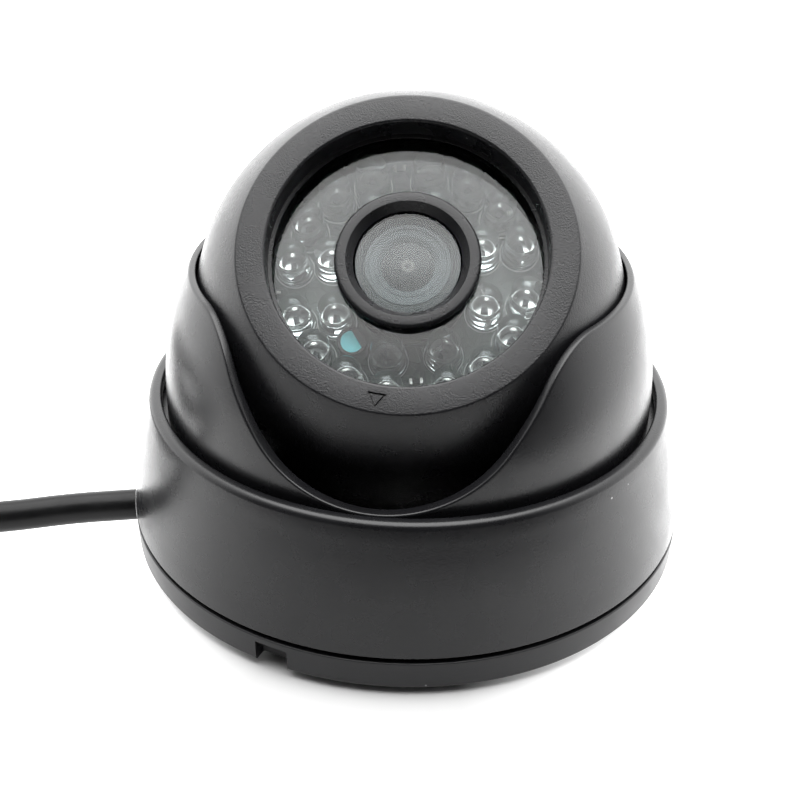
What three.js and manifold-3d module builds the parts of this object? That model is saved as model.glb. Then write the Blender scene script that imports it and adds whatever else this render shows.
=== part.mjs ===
// Dome CCTV camera: an eyeball housing with 24 infrared LEDs round a small board lens.  The ball tilts and
// turns in a turret, the turret turns on a round base plate, and a cover ring holds it all down.
// Millimetres, +Z up.  The origin is the centre of the base plate's underside.
import * as THREE from 'three';
import { mergeVertices } from 'three/addons/utils/BufferGeometryUtils.js';
import Module from 'manifold-3d';

const wasm = await Module();
wasm.setup();

// ---- driving dimensions --------------------------------------------------------------------------------
const GAP = 0.3;                   // clearance between touching pieces
const SIDES = 44;                  // facets round the large shells
const RIM_SIDES = 32;              // facets round the window, gasket and LED board
const BOSS_SIDES = 24;             // facets round middle-sized pieces
const PIN_SIDES = 10;              // facets round small pieces
const deg = THREE.MathUtils.degToRad;

const BASE_R = 46.6;               // base plate
const BASE_TOP = 4.7;
const BASE_FLOOR = 2.4;
const BASE_WALL = 2.2;
const SPIGOT_TOP = 9.0;            // the ring of wall that centres the cover ring
const SPIGOT_R = 43.7;
const RAIL_TOP = 9.3;              // rail that the turret's skirt turns on
const RAIL_R = 39.9;
const RAIL_BORE = 38.1;
const COLLAR_TOP = 11.6;           // collar that carries the friction ring
const COLLAR_R = 25.6;
const COLLAR_BORE = 22.4;
const CABLE_HOLE = 16;               // square way through the mounting surface for the cable
const KEYHOLE_PITCH_R = 33;        // three keyhole slots for wall screws
const KEYHOLE_SLOT_R = 2.1;
const KEYHOLE_HEAD_R = 3.9;
const KEYHOLE_TURN = 9;            // degrees from the slot's end to the screw head's hole
const PRY_NOTCH_AT = 247.7;        // degrees from +X
const PRY_NOTCH = { width: 5.3, depth: 2.4, height: 3.6 };

const RING_BOTTOM = 5.5;           // cover ring: a cone with a rounded shoulder
const RING_BOTTOM_R = 46.7;
const RING_TOP = 26.2;
const RING_SHOULDER_R = 42.75;
const RING_SHOULDER = 1.3;         // radius of the rounded shoulder
const RING_BORE = 40.7;
const RING_WALL = 2.0;

const TURRET_PAN = -3.9;           // degrees: the turret's slot stands a little left of where the ball looks
const TURRET_BOTTOM = RAIL_TOP + GAP;
const TURRET_R = 39.9;             // where it comes out of the cover ring
const TURRET_FROM = 25.6;          // height where the wall starts to lean in
const TURRET_RIM = 46.9;
const TURRET_LIP = 1.2;            // wall at the rim
const TURRET_WALL = 1.8;           // wall low down
const FLANGE_R = 41.3;             // flange that the cover ring holds down
const FLANGE_LOW = 21.4;
const FLANGE_HIGH = 23.2;
const SLOT_LOW = 25.7;             // lowest point of the slot at the front of the turret
const SLOT_RADIUS = 23.5;          // bottom arc of the slot, on the unrolled wall
const SLOT_SLOPE = 49;             // degrees: its straight sides
const SLOT_CORNER = 15;            // arc from the sides to the rim

const BALL_Z = 38.5;
const BALL_R = 34.4;
const BALL_WALL = 2.2;
const TILT = 43.4;                 // degrees from straight up to the optical axis, towards -Y
const FACE = 23.9;                 // face plane, measured along the optical axis from the ball's centre
const FACE_EDGE = 0.5;             // rounded edges of the face
const OPENING_R = 20.5;
const BEZEL = 4.3;                 // depth of the opening down to the window
const SLEEVE_R = 22.4;             // bore behind the bezel, for the window and the LED board
const SLEEVE_WALL = 1.5;
const REAR_HOLE_R = 5;

const WINDOW_T = 2.0;
const WINDOW_R = 22.0;
const BAFFLE_R = 10.8;
const BAFFLE_EDGE = 0.8;            // its lip is rounded off this far
const BAFFLE_TOP = FACE - 3.2;
const BAFFLE_TUBE_R = 9.2;          // its tube, through the window's hole and down to the board
const BAFFLE_LIP_R = 9.1;
const BAFFLE_CONE_R = 8.05;
const BAFFLE_CONE = 1.3;
const BOARD_TOP = FACE - 15.2;
const BOARD_T = 1.6;
const BOARD_R = 21.8;
const BOARD_BORE = 8.8;

const LED_R = 2.5;
const LED_FLANGE_R = 2.85;
const LED_FLANGE = 1.0;
const LED_HEIGHT = 8.3;
const LED_TURN = 6.9;              // degrees: the whole board stands turned by this much
const LED_OUTER = { radius: 18.1, spacing: 20.5, groups: [45, 135, 225, 315], perGroup: 4 };
const LED_INNER = { radius: 12.35, angles: [20.5, 66, 112, 159, 202, 251, 291, 335.5] };
const PHOTOCELL = { radius: 13.2, at: 226, r: 2.3, height: 4.2 };

const LENS_TOP = FACE - 4.9;
const LENS_HEAD_R = 7.9;
const LENS_HEAD = 5.2;
const LENS_THREAD_R = 6.0;
const LENS_LENGTH = 15.5;
const LENS_FACE = 1.0;             // from the cover glass's top down to the head's front face
const GLASS_R = 7.85;              // flat cover glass
const GLASS_T = 0.6;
const HOLDER_R = 8.0;
const HOLDER_BORE = 6.4;
const HOLDER_EAR = 9.6;            // its two fixing ears
const SENSOR_BOARD_TOP = -1.2;
const SENSOR_BOARD = 38;
const SENSOR_BOARD_T = 1.6;
const STANDOFF_AT = 13.5;

const CABLE_D = 5.3;
const CABLE_SIDES = 10;
const LEAD_D = 3.4;
const LEAD_SIDES = 8;
const COIL_CENTRE = [-114, 13];
const COIL_R = 29;                 // at the middle of the turns
const COIL_LIFT = 1.0;             // the tie passes under the turns
const COIL_TURNS_HIGH = 2;

// ---- materials -----------------------------------------------------------------------------------------
const material = (color, roughness = 0.6, metalness = 0) =>
  new THREE.MeshStandardMaterial({ color, roughness, metalness });
const housingBlack = material(0x2a2a2c, 0.5);
const baseBlack = material(0x2c2d2f, 0.55);
const rubberBlack = material(0x161617, 0.85);
const clearEpoxy = material(0xd8dede, 0.1);
const windowGlass = material(0x8f9a9c, 0.1);
const boardGreen = material(0x1c2a24, 0.6);
const cellTeal = material(0x7fbfc2, 0.3);
const lensBlack = material(0x1b1b1d, 0.4);
const lensGlass = material(0x5f7274, 0.05);
const chipBlack = material(0x202124, 0.5);
const nickel = material(0xb9bbbd, 0.3, 1);
const brass = material(0xb79a5b, 0.35, 1);
const connectorWhite = material(0xd9d6cc, 0.6);
const tieBlack = material(0x101011, 0.6);

// ---- geometry helpers ----------------------------------------------------------------------------------
// A solid of revolution about the group's Z axis, from a closed profile of [radius, height] points.
function lathe(profile, sides = SIDES) {
  const points = profile.map(([r, z]) => new THREE.Vector2(r, z));
  const closed = profile[0][0] > 0;
  if (closed) points.push(points[0].clone());
  const geometry = new THREE.LatheGeometry(points, sides);
  geometry.rotateX(Math.PI / 2);
  return outward(geometry);
}

// Turns a closed geometry's faces to point out, if its signed volume says that they point in.
function outward(geometry) {
  const solid = welded(geometry);
  const position = solid.getAttribute('position');
  const index = solid.getIndex();
  const [a, b, c] = [new THREE.Vector3(), new THREE.Vector3(), new THREE.Vector3()];
  let volume = 0;
  for (let i = 0; i < index.count; i += 3) {
    a.fromBufferAttribute(position, index.getX(i));
    b.fromBufferAttribute(position, index.getX(i + 1));
    c.fromBufferAttribute(position, index.getX(i + 2));
    volume += a.dot(b.cross(c));
  }
  if (volume < 0) index.array.reverse();
  return solid;
}

// Keeps only position, and merges vertices that share a place.
function welded(geometry) {
  const bare = geometry.clone();
  bare.deleteAttribute('normal');
  bare.deleteAttribute('uv');
  const merged = mergeVertices(bare, 1e-4);
  const index = Array.from(merged.getIndex().array);
  const kept = [];
  for (let i = 0; i < index.length; i += 3) {
    const [a, b, c] = index.slice(i, i + 3);
    if (a !== b && b !== c && c !== a) kept.push(a, b, c);
  }
  merged.setIndex(kept);
  return merged;
}

function toManifold(geometry) {
  const solid = welded(geometry);
  return new wasm.Manifold(new wasm.Mesh({
    numProp: 3,
    vertProperties: new Float32Array(solid.getAttribute('position').array),
    triVerts: new Uint32Array(solid.getIndex().array),
  }));
}

function fromManifold(solid) {
  const mesh = solid.getMesh();
  const geometry = new THREE.BufferGeometry();
  geometry.setAttribute('position', new THREE.BufferAttribute(new Float32Array(mesh.vertProperties), 3));
  geometry.setIndex(new THREE.BufferAttribute(new Uint32Array(mesh.triVerts), 1));
  return geometry;
}

const cut = (body, tools) =>
  fromManifold(tools.reduce((rest, tool) => rest.subtract(toManifold(tool)), toManifold(body)));
const join = (body, others) =>
  fromManifold(others.reduce((sum, other) => sum.add(toManifold(other)), toManifold(body)));

// A box given by its middle in X and Y and by its lowest and highest Z.
function block(width, depth, low, high, x = 0, y = 0) {
  const geometry = new THREE.BoxGeometry(width, depth, high - low);
  geometry.translate(x, y, (low + high) / 2);
  return geometry;
}

// An upright cylinder between two heights.
function post(radius, low, high, x = 0, y = 0, sides = PIN_SIDES) {
  const geometry = new THREE.CylinderGeometry(radius, radius, high - low, sides);
  geometry.rotateX(Math.PI / 2);
  geometry.translate(x, y, (low + high) / 2);
  return geometry;
}

const turned = (geometry, degrees) => geometry.rotateZ(deg(degrees));

// Points of an arc in the profile plane: angles in degrees from the +r direction towards +z.
function arc(centreR, centreZ, radius, from, to, steps) {
  return Array.from({ length: steps + 1 }, (_, i) => {
    const angle = deg(from + ((to - from) * i) / steps);
    return [centreR + radius * Math.cos(angle), centreZ + radius * Math.sin(angle)];
  });
}

// A round tube along a smooth curve through the given points.
function tube(points, diameter, sides, steps) {
  const section = new THREE.Shape();
  for (let i = 0; i < sides; i++) {
    const angle = (2 * Math.PI * i) / sides;
    const point = [(diameter / 2) * Math.cos(angle), (diameter / 2) * Math.sin(angle)];
    if (i === 0) section.moveTo(...point);
    else section.lineTo(...point);
  }
  section.closePath();
  const path = new THREE.CatmullRomCurve3(points.map((p) => new THREE.Vector3(...p)));
  return outward(new THREE.ExtrudeGeometry(section, { extrudePath: path, steps, bevelEnabled: false }));
}

const part = new THREE.Group();
part.name = 'dome_camera';

function add(name, geometry, look, parent = part) {
  geometry.deleteAttribute('uv');
  const mesh = new THREE.Mesh(geometry.index ? geometry : welded(geometry), look);
  mesh.geometry.computeVertexNormals();
  mesh.name = name;
  parent.add(mesh);
  return mesh;
}

// ---- base ----------------------------------------------------------------------------------------------
// Where the cable leaves the base, and the direction that it leaves in.
const EXIT_AT = 189.4;
const exitPoint = (radius, height) =>
  [radius * Math.cos(deg(EXIT_AT)), radius * Math.sin(deg(EXIT_AT)), height];

// The wide hole and the narrow slot of one keyhole, curved along the screws' circle.
function keyhole(at) {
  const place = (angle) => [KEYHOLE_PITCH_R * Math.cos(deg(angle)), KEYHOLE_PITCH_R * Math.sin(deg(angle))];
  const head = post(KEYHOLE_HEAD_R, -1, BASE_FLOOR + 1, ...place(at));
  const slots = [1, 2, 3].map((step) =>
    post(KEYHOLE_SLOT_R, -1, BASE_FLOOR + 1, ...place(at + (KEYHOLE_TURN * step) / 3)));
  return [head, ...slots];
}

function basePlate() {
  const edge = 0.4;
  const tray = lathe([
    [0, 0], [BASE_R - edge, 0], [BASE_R, edge], [BASE_R, BASE_TOP],
    [SPIGOT_R, BASE_TOP], [SPIGOT_R, SPIGOT_TOP], [SPIGOT_R - 1.6, SPIGOT_TOP],
    [SPIGOT_R - BASE_WALL, BASE_FLOOR], [RAIL_R, BASE_FLOOR], [RAIL_R, RAIL_TOP],
    [RAIL_BORE, RAIL_TOP], [RAIL_BORE, BASE_FLOOR], [COLLAR_R + 0.4, BASE_FLOOR], [COLLAR_R, COLLAR_TOP],
    [COLLAR_BORE, COLLAR_TOP], [COLLAR_BORE - 0.4, BASE_FLOOR], [0, BASE_FLOOR],
  ]);
  const cableHole = block(CABLE_HOLE, CABLE_HOLE, -1, BASE_FLOOR + 1);
  const cableSlot = turned(block(16, CABLE_D + 1.2, -1, BASE_TOP + 0.6, BASE_R - 2), EXIT_AT);
  const spigotSlot = turned(block(9, CABLE_D + 1.2, BASE_TOP, SPIGOT_TOP + 1, SPIGOT_R - 1.5), EXIT_AT);
  const pryNotch = turned(
    block(2 * PRY_NOTCH.depth, PRY_NOTCH.width, -1, PRY_NOTCH.height, BASE_R), PRY_NOTCH_AT);
  const keyholes = [30, 150, 270].flatMap(keyhole);
  return cut(tray, [cableHole, cableSlot, spigotSlot, pryNotch, ...keyholes]);
}

// The ball's underside as a radius-to-height rule, for what touches it.
const ballUnder = (radius) => BALL_Z - Math.sqrt(BALL_R ** 2 - radius ** 2);

function frictionRing() {
  const [inner, outer] = [COLLAR_BORE + 0.2, COLLAR_R - 0.2];
  return lathe([
    [inner, COLLAR_TOP + GAP], [outer, COLLAR_TOP + GAP],
    [outer, ballUnder(outer) - GAP], [inner, ballUnder(inner) - GAP],
  ]);
}

// A rubber block that fills the cable's slot in the base wall.
function cableGrommet() {
  return turned(block(6, CABLE_D + 0.6, 0.2, BASE_TOP, BASE_R - 3.4), EXIT_AT);
}

// ---- cable ---------------------------------------------------------------------------------------------
const FLOOR_LINE = CABLE_D / 2;
const COIL_LINE = COIL_LIFT + CABLE_D / 2;
const coilPoint = (x, y, height) => [COIL_CENTRE[0] + x, COIL_CENTRE[1] + y, height];

const CABLE_ROUTE = [
  exitPoint(BASE_R + GAP, FLOOR_LINE), [-56.5, -9.8, FLOOR_LINE], [-68.3, -13.2, FLOOR_LINE],
  [-82, -15.6, FLOOR_LINE], [-96, -16.3, FLOOR_LINE],
];
const TAIL_ROUTE = [
  coilPoint(-1, -COIL_R - 1.2 * CABLE_D, COIL_LINE + 2.2), coilPoint(-14, -34.5, FLOOR_LINE + 1.6),
  coilPoint(-27, -29, FLOOR_LINE + 0.25), coilPoint(-36, -20, FLOOR_LINE + 0.05),
  coilPoint(-39, -11, FLOOR_LINE + 0.15), coilPoint(-39, -6.3, FLOOR_LINE + 0.3),
];
const SPLITTER_AT = coilPoint(-39, -5.7, FLOOR_LINE + 0.3);
const SPLITTER = { length: 20, width: 9, height: 6 };
// A point in line with one of the splitter's two outlets, at a distance in front of it.
const leadStart = (side, ahead) =>
  [SPLITTER_AT[0] + side, SPLITTER_AT[1] + SPLITTER.length + GAP + ahead, LEAD_D / 2 + 0.3];
const VIDEO_ROUTE = [
  leadStart(-2.1, 0), leadStart(-2.1, 4), coilPoint(-40.6, 27, LEAD_D / 2 + 0.1),
  coilPoint(-36.5, 38, LEAD_D / 2 + 0.1), coilPoint(-28, 46, LEAD_D / 2 + 0.7),
  coilPoint(-20, 49.4, LEAD_D / 2 + 2.4), coilPoint(-14.5, 50, 5.3), coilPoint(-10, 50, 5.4),
];
const POWER_ROUTE = [
  leadStart(2.1, 0), leadStart(2.1, 4), coilPoint(-35.9, 24, LEAD_D / 2 + 0.1),
  coilPoint(-31.6, 31.6, LEAD_D / 2 + 0.1), coilPoint(-25, 36.4, LEAD_D / 2 + 0.8),
  coilPoint(-18.5, 38.3, LEAD_D / 2 + 2.2), coilPoint(-14, 38.6, 4.6), coilPoint(-10, 38.6, 4.6),
];

function cableCoil() {
  const half = CABLE_D / 2;
  const low = COIL_LIFT;
  const high = COIL_LIFT + CABLE_D * COIL_TURNS_HIGH;
  const bevel = 1.2;
  const ring = lathe([
    [COIL_R - half + bevel, low], [COIL_R + half - bevel, low], [COIL_R + half, low + bevel],
    [COIL_R + half, high - bevel], [COIL_R + half - bevel, high], [COIL_R - half + bevel, high],
    [COIL_R - half, high - bevel], [COIL_R - half, low + bevel],
  ], BOSS_SIDES);
  ring.translate(COIL_CENTRE[0], COIL_CENTRE[1], 0);
  return ring;
}

// A releasable strap round the turns, a closed band in the plane across them.
function coilTie() {
  const [thick, width, slack] = [0.6, 3.6, 0.45];
  const inner = {
    x: CABLE_D / 2 + slack,
    low: COIL_LIFT - GAP,
    high: COIL_LIFT + CABLE_D * COIL_TURNS_HIGH + GAP,
  };
  const band = new THREE.Shape();
  band.moveTo(-inner.x - thick, inner.low - thick);
  band.lineTo(inner.x + thick, inner.low - thick);
  band.lineTo(inner.x + thick, inner.high + thick);
  band.lineTo(-inner.x - thick, inner.high + thick);
  band.closePath();
  const hole = new THREE.Path();
  hole.moveTo(-inner.x, inner.low);
  hole.lineTo(inner.x, inner.low);
  hole.lineTo(inner.x, inner.high);
  hole.lineTo(-inner.x, inner.high);
  hole.closePath();
  band.holes.push(hole);
  const strap = new THREE.ExtrudeGeometry(band, { depth: width, bevelEnabled: false });
  strap.rotateX(Math.PI / 2);
  strap.translate(COIL_CENTRE[0] + COIL_R, COIL_CENTRE[1] + width / 2, 0);
  return outward(strap);
}

// A tapered moulding where the cable splits into the video lead and the power lead.
function splitterBoot() {
  const { length, width, height } = SPLITTER;
  const outline = new THREE.Shape();
  outline.moveTo(-3.2, 0);
  outline.lineTo(3.2, 0);
  outline.lineTo(width / 2, 7);
  outline.lineTo(width / 2, length);
  outline.lineTo(-width / 2, length);
  outline.lineTo(-width / 2, 7);
  outline.closePath();
  const boot = new THREE.ExtrudeGeometry(outline, { depth: height, bevelEnabled: false });
  boot.translate(SPLITTER_AT[0], SPLITTER_AT[1], 0);
  return outward(boot);
}

// Bayonet video socket: a boot, a body and a nose, along +X from the end of its lead.
function bncConnector() {
  const [x, y, z] = VIDEO_ROUTE[VIDEO_ROUTE.length - 1];
  const socket = lathe([
    [0, 0], [3.2, 0], [4.4, 8], [5.2, 8], [5.2, 12], [4.8, 12], [4.8, 24], [3.9, 24], [3.9, 17], [0, 17],
  ], 16);
  socket.rotateY(Math.PI / 2);
  socket.translate(x + GAP, y, z);
  return outward(socket);
}

// Barrel power socket at the end of its lead, open at its far end.
function powerSocket() {
  const [x, y, z] = POWER_ROUTE[POWER_ROUTE.length - 1];
  const socket = lathe([
    [0, 0], [2.6, 0], [3.2, 6], [4.4, 8.5], [4.4, 24], [2.9, 24], [2.9, 13], [0, 13],
  ], 16);
  socket.rotateY(Math.PI / 2);
  socket.translate(x + GAP, y, z);
  return outward(socket);
}

function addBase() {
  add('base_plate', basePlate(), baseBlack);
  add('friction_ring', frictionRing(), rubberBlack);
  add('cable_grommet', cableGrommet(), rubberBlack);
  add('cable', tube(CABLE_ROUTE, CABLE_D, CABLE_SIDES, 5), rubberBlack);
  add('cable_coil', cableCoil(), rubberBlack);
  add('cable_tail', tube(TAIL_ROUTE, CABLE_D, CABLE_SIDES, 6), rubberBlack);
  add('coil_tie', coilTie(), tieBlack);
  add('splitter_boot', splitterBoot(), rubberBlack);
  add('video_lead', tube(VIDEO_ROUTE, LEAD_D, LEAD_SIDES, 9), rubberBlack);
  add('power_lead', tube(POWER_ROUTE, LEAD_D, LEAD_SIDES, 8), rubberBlack);
  add('video_connector', bncConnector(), nickel);
  add('power_connector', powerSocket(), chipBlack);
}

// ---- cover ring ----------------------------------------------------------------------------------------
function coverRing() {
  const shoulder = RING_SHOULDER;
  const wallTop = RING_TOP - shoulder;
  return lathe([
    [RING_BOTTOM_R - RING_WALL, RING_BOTTOM], [RING_BOTTOM_R, RING_BOTTOM],
    [(RING_BOTTOM_R + RING_SHOULDER_R) / 2 + 0.15, (RING_BOTTOM + wallTop) / 2],
    ...arc(RING_SHOULDER_R - shoulder, wallTop, shoulder, 0, 90, 3),
    [RING_BORE + 0.3, RING_TOP], [RING_BORE, RING_TOP - 0.4],
    [RING_BORE, RING_TOP - RING_WALL], [RING_SHOULDER_R - RING_WALL + 0.65, RING_TOP - RING_WALL - 0.4],
  ]);
}

// ---- turret --------------------------------------------------------------------------------------------
// Outer radius of the turret's wall at a height: straight low down, then leaning in to the rim.
function turretRadius(height) {
  const rise = Math.max(0, (height - TURRET_FROM) / 20);
  return TURRET_R - 3.75 * rise ** 2 - 0.6 * rise ** 4;
}

// Wall thickness at a height: thin at the rim, thicker low down.
function turretWall(height) {
  const share = THREE.MathUtils.clamp((TURRET_RIM - height) / 15, 0, 1);
  return THREE.MathUtils.lerp(TURRET_LIP, TURRET_WALL, share);
}

// Height of the wall's edge at an angle from the slot's middle.  On the unrolled wall the slot is an arc,
// a straight slope and a corner arc up to the level rim.
function rimHeight(angleFromSlot) {
  const along = deg(Math.abs(angleFromSlot)) * (TURRET_R - 2.4);
  const slope = deg(SLOT_SLOPE);
  const arcEnd = SLOT_RADIUS * Math.sin(slope);
  const arcTop = SLOT_LOW + SLOT_RADIUS * (1 - Math.cos(slope));
  const corner = arcEnd + (TURRET_RIM - arcTop) / Math.tan(slope);
  const tangent = SLOT_CORNER * Math.tan(slope / 2);
  if (along < arcEnd) return SLOT_LOW + SLOT_RADIUS - Math.sqrt(SLOT_RADIUS ** 2 - along ** 2);
  if (along < corner - tangent * Math.cos(slope)) return arcTop + (along - arcEnd) * Math.tan(slope);
  if (along < corner + tangent) {
    const fromCentre = corner + tangent - along;
    return TURRET_RIM - SLOT_CORNER + Math.sqrt(SLOT_CORNER ** 2 - fromCentre ** 2);
  }
  return TURRET_RIM;
}

// One upright section of the turret as [radius, height] points, the same number at every angle.
function turretSection(angleFromSlot) {
  const top = rimHeight(angleFromSlot);
  const lip = 0.45;
  const steps = 5;
  const outer = Array.from({ length: steps + 1 }, (_, i) => {
    const height = THREE.MathUtils.lerp(FLANGE_HIGH + 0.6, top - lip, i / steps);
    return [turretRadius(height), height];
  });
  const inner = Array.from({ length: steps }, (_, i) => {
    const height = THREE.MathUtils.lerp(top - lip, FLANGE_LOW, i / (steps - 1));
    return [turretRadius(height) - turretWall(height), height];
  });
  const edge = turretRadius(top);
  return [
    [TURRET_R - TURRET_WALL, TURRET_BOTTOM], [TURRET_R, TURRET_BOTTOM], [TURRET_R, FLANGE_LOW],
    [FLANGE_R, FLANGE_LOW], [FLANGE_R, FLANGE_HIGH], [TURRET_R, FLANGE_HIGH],
    ...outer,
    [edge - 0.35, top], [edge - turretWall(top) + 0.35, top],
    ...inner,
  ];
}

function turretShell() {
  const columns = [];
  for (let angle = -60; angle < 60; angle += 5) columns.push(angle);
  for (let angle = 60; angle < 300; angle += 10) columns.push(angle);
  const sections = columns.map((angle) => turretSection(angle > 180 ? angle - 360 : angle));
  const ring = sections[0].length;
  const positions = [];
  sections.forEach((section, column) => {
    const heading = deg(columns[column] - 90);
    section.forEach(([r, z]) => positions.push(r * Math.cos(heading), r * Math.sin(heading), z));
  });
  const index = [];
  for (let column = 0; column < columns.length; column++) {
    const next = (column + 1) % columns.length;
    for (let i = 0; i < ring; i++) {
      const j = (i + 1) % ring;
      const [a, b] = [column * ring + i, column * ring + j];
      const [c, d] = [next * ring + i, next * ring + j];
      index.push(a, c, b, b, c, d);
    }
  }
  const geometry = new THREE.BufferGeometry();
  geometry.setAttribute('position', new THREE.Float32BufferAttribute(positions, 3));
  geometry.setIndex(index);
  return outward(geometry);
}

// ---- ball: everything below is drawn along the optical axis, from the ball's centre ---------------------
const ball = new THREE.Group();
ball.position.z = BALL_Z;
ball.rotation.x = deg(TILT);
part.add(ball);

const angleOf = (radius, height) => THREE.MathUtils.radToDeg(Math.asin(height / radius));

function ballFrontShell() {
  const inner = BALL_R - BALL_WALL;
  const faceAngle = angleOf(BALL_R, FACE - FACE_EDGE);
  const sleeveOut = SLEEVE_R + SLEEVE_WALL;
  const sleeveMeets = Math.sqrt(inner ** 2 - sleeveOut ** 2);
  const faceR = Math.sqrt(BALL_R ** 2 - FACE ** 2);
  return lathe([
    ...arc(0, 0, BALL_R, angleOf(BALL_R, GAP / 2), faceAngle, 6),
    [faceR - 0.1, FACE - 0.1], [faceR - FACE_EDGE, FACE],
    [OPENING_R + FACE_EDGE, FACE], [OPENING_R, FACE - FACE_EDGE],
    [OPENING_R, FACE - BEZEL], [SLEEVE_R, FACE - BEZEL],
    [SLEEVE_R, BOARD_TOP - BOARD_T - 1], [sleeveOut, BOARD_TOP - BOARD_T - 1],
    ...arc(0, 0, inner, angleOf(inner, sleeveMeets), angleOf(inner, GAP / 2), 4),
  ]);
}

function ballRearShell() {
  const inner = BALL_R - BALL_WALL;
  const hole = (radius) => -THREE.MathUtils.radToDeg(Math.acos(REAR_HOLE_R / radius));
  return lathe([
    ...arc(0, 0, BALL_R, hole(BALL_R), angleOf(BALL_R, -GAP / 2), 7),
    ...arc(0, 0, inner, angleOf(inner, -GAP / 2), hole(inner), 6),
  ]);
}

function rearGrommet() {
  const [bore, outer] = [2.6, REAR_HOLE_R - GAP];
  const [low, high] = [-Math.sqrt(BALL_R ** 2 - REAR_HOLE_R ** 2), -BALL_R + BALL_WALL + 1.2];
  return lathe([
    [bore, low], [outer, low], [outer, high - 0.4], [outer + 1.4, high], [outer + 1.4, high + 1],
    [bore, high + 1],
  ], BOSS_SIDES);
}

function ledWindow() {
  const [top, bore] = [FACE - BEZEL - GAP, BAFFLE_TUBE_R + GAP];
  return lathe([[bore, top - WINDOW_T], [WINDOW_R, top - WINDOW_T], [WINDOW_R, top], [bore, top]], RIM_SIDES);
}

function windowGasket() {
  const top = FACE - BEZEL - GAP - WINDOW_T - GAP;
  const bore = WINDOW_R - 0.9;
  return lathe([[bore, top - 1.2], [WINDOW_R, top - 1.2], [WINDOW_R, top], [bore, top]], RIM_SIDES);
}

function lensBaffle() {
  const [top, bottom, bore] = [BAFFLE_TOP, BOARD_TOP + GAP, 8.4];
  const lipLow = FACE - BEZEL;
  return lathe([
    ...arc(BAFFLE_R - BAFFLE_EDGE, top - BAFFLE_EDGE, BAFFLE_EDGE, 90, 0, 3),
    [BAFFLE_R, lipLow], [BAFFLE_TUBE_R, lipLow], [BAFFLE_TUBE_R, bottom], [bore, bottom],
    [bore, top - 2.2], [BAFFLE_CONE_R, top - 1.8], [BAFFLE_CONE_R, top - BAFFLE_CONE],
    [BAFFLE_LIP_R, top],
  ], BOSS_SIDES);
}

function ledBoard() {
  return lathe([
    [BOARD_BORE, BOARD_TOP - BOARD_T], [BOARD_R, BOARD_TOP - BOARD_T], [BOARD_R, BOARD_TOP],
    [BOARD_BORE, BOARD_TOP],
  ], RIM_SIDES);
}

function led() {
  const straight = LED_HEIGHT - LED_R;
  return lathe([
    [0, 0], [LED_FLANGE_R, 0], [LED_FLANGE_R, LED_FLANGE], [LED_R, LED_FLANGE],
    ...arc(0, straight, LED_R, 0, 90, 2).map(([r, z]) => [Math.max(r, 0), z]),
  ], 8);
}

// Angles of every LED on its circle, outer circle first.
function ledPlaces() {
  const { radius, spacing, groups, perGroup } = LED_OUTER;
  const outer = groups.flatMap((middle) => Array.from({ length: perGroup }, (_, i) =>
    [radius, middle + spacing * (i - (perGroup - 1) / 2)]));
  const inner = LED_INNER.angles.map((angle) => [LED_INNER.radius, angle]);
  return [...outer, ...inner];
}

function addLeds() {
  ledPlaces().forEach(([radius, angle], i) => {
    const mesh = add(`led_${String(i + 1).padStart(2, '0')}`, led(), clearEpoxy, ball);
    const at = deg(angle + LED_TURN);
    mesh.position.set(radius * Math.cos(at), radius * Math.sin(at), BOARD_TOP + GAP);
  });
}

function addPhotocell() {
  const { radius, at, r, height } = PHOTOCELL;
  const cell = lathe([[0, 0], [r, 0], [r, height], [0, height]], PIN_SIDES);
  const mesh = add('photocell', cell, cellTeal, ball);
  const angle = deg(at + LED_TURN);
  mesh.position.set(radius * Math.cos(angle), radius * Math.sin(angle), BOARD_TOP + GAP);
}

function lensBarrel() {
  const [top, bottom] = [LENS_TOP, LENS_TOP - LENS_LENGTH];
  return lathe([
    [0, bottom], [LENS_THREAD_R, bottom], [LENS_THREAD_R, top - LENS_HEAD], [LENS_HEAD_R, top - LENS_HEAD],
    [LENS_HEAD_R, top - LENS_FACE], [0, top - LENS_FACE],
  ], BOSS_SIDES);
}

// Flat cover glass in front of the head.
function lensGlassFront() {
  return lathe([
    [0, LENS_TOP - GLASS_T], [GLASS_R, LENS_TOP - GLASS_T], [GLASS_R, LENS_TOP], [0, LENS_TOP],
  ], BOSS_SIDES);
}

function lensLockRing() {
  const low = LENS_TOP - LENS_HEAD - 1.8;
  const [bore, outer] = [LENS_THREAD_R + GAP, 7.6];
  return lathe([[bore, low], [outer, low], [outer, low + 1.5], [bore, low + 1.5]], BOSS_SIDES);
}

// Threaded holder that carries the lens over the image sensor.
function lensHolder() {
  const low = SENSOR_BOARD_TOP + GAP;
  const high = LENS_TOP - LENS_HEAD - 1.8 - GAP;
  return join(
    lathe([[HOLDER_BORE, low], [HOLDER_R, low], [HOLDER_R, high], [HOLDER_BORE, high]], BOSS_SIDES),
    [HOLDER_EAR, -HOLDER_EAR].map((x) => block(5, 5, low, low + 2.2, x)),
  );
}

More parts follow.
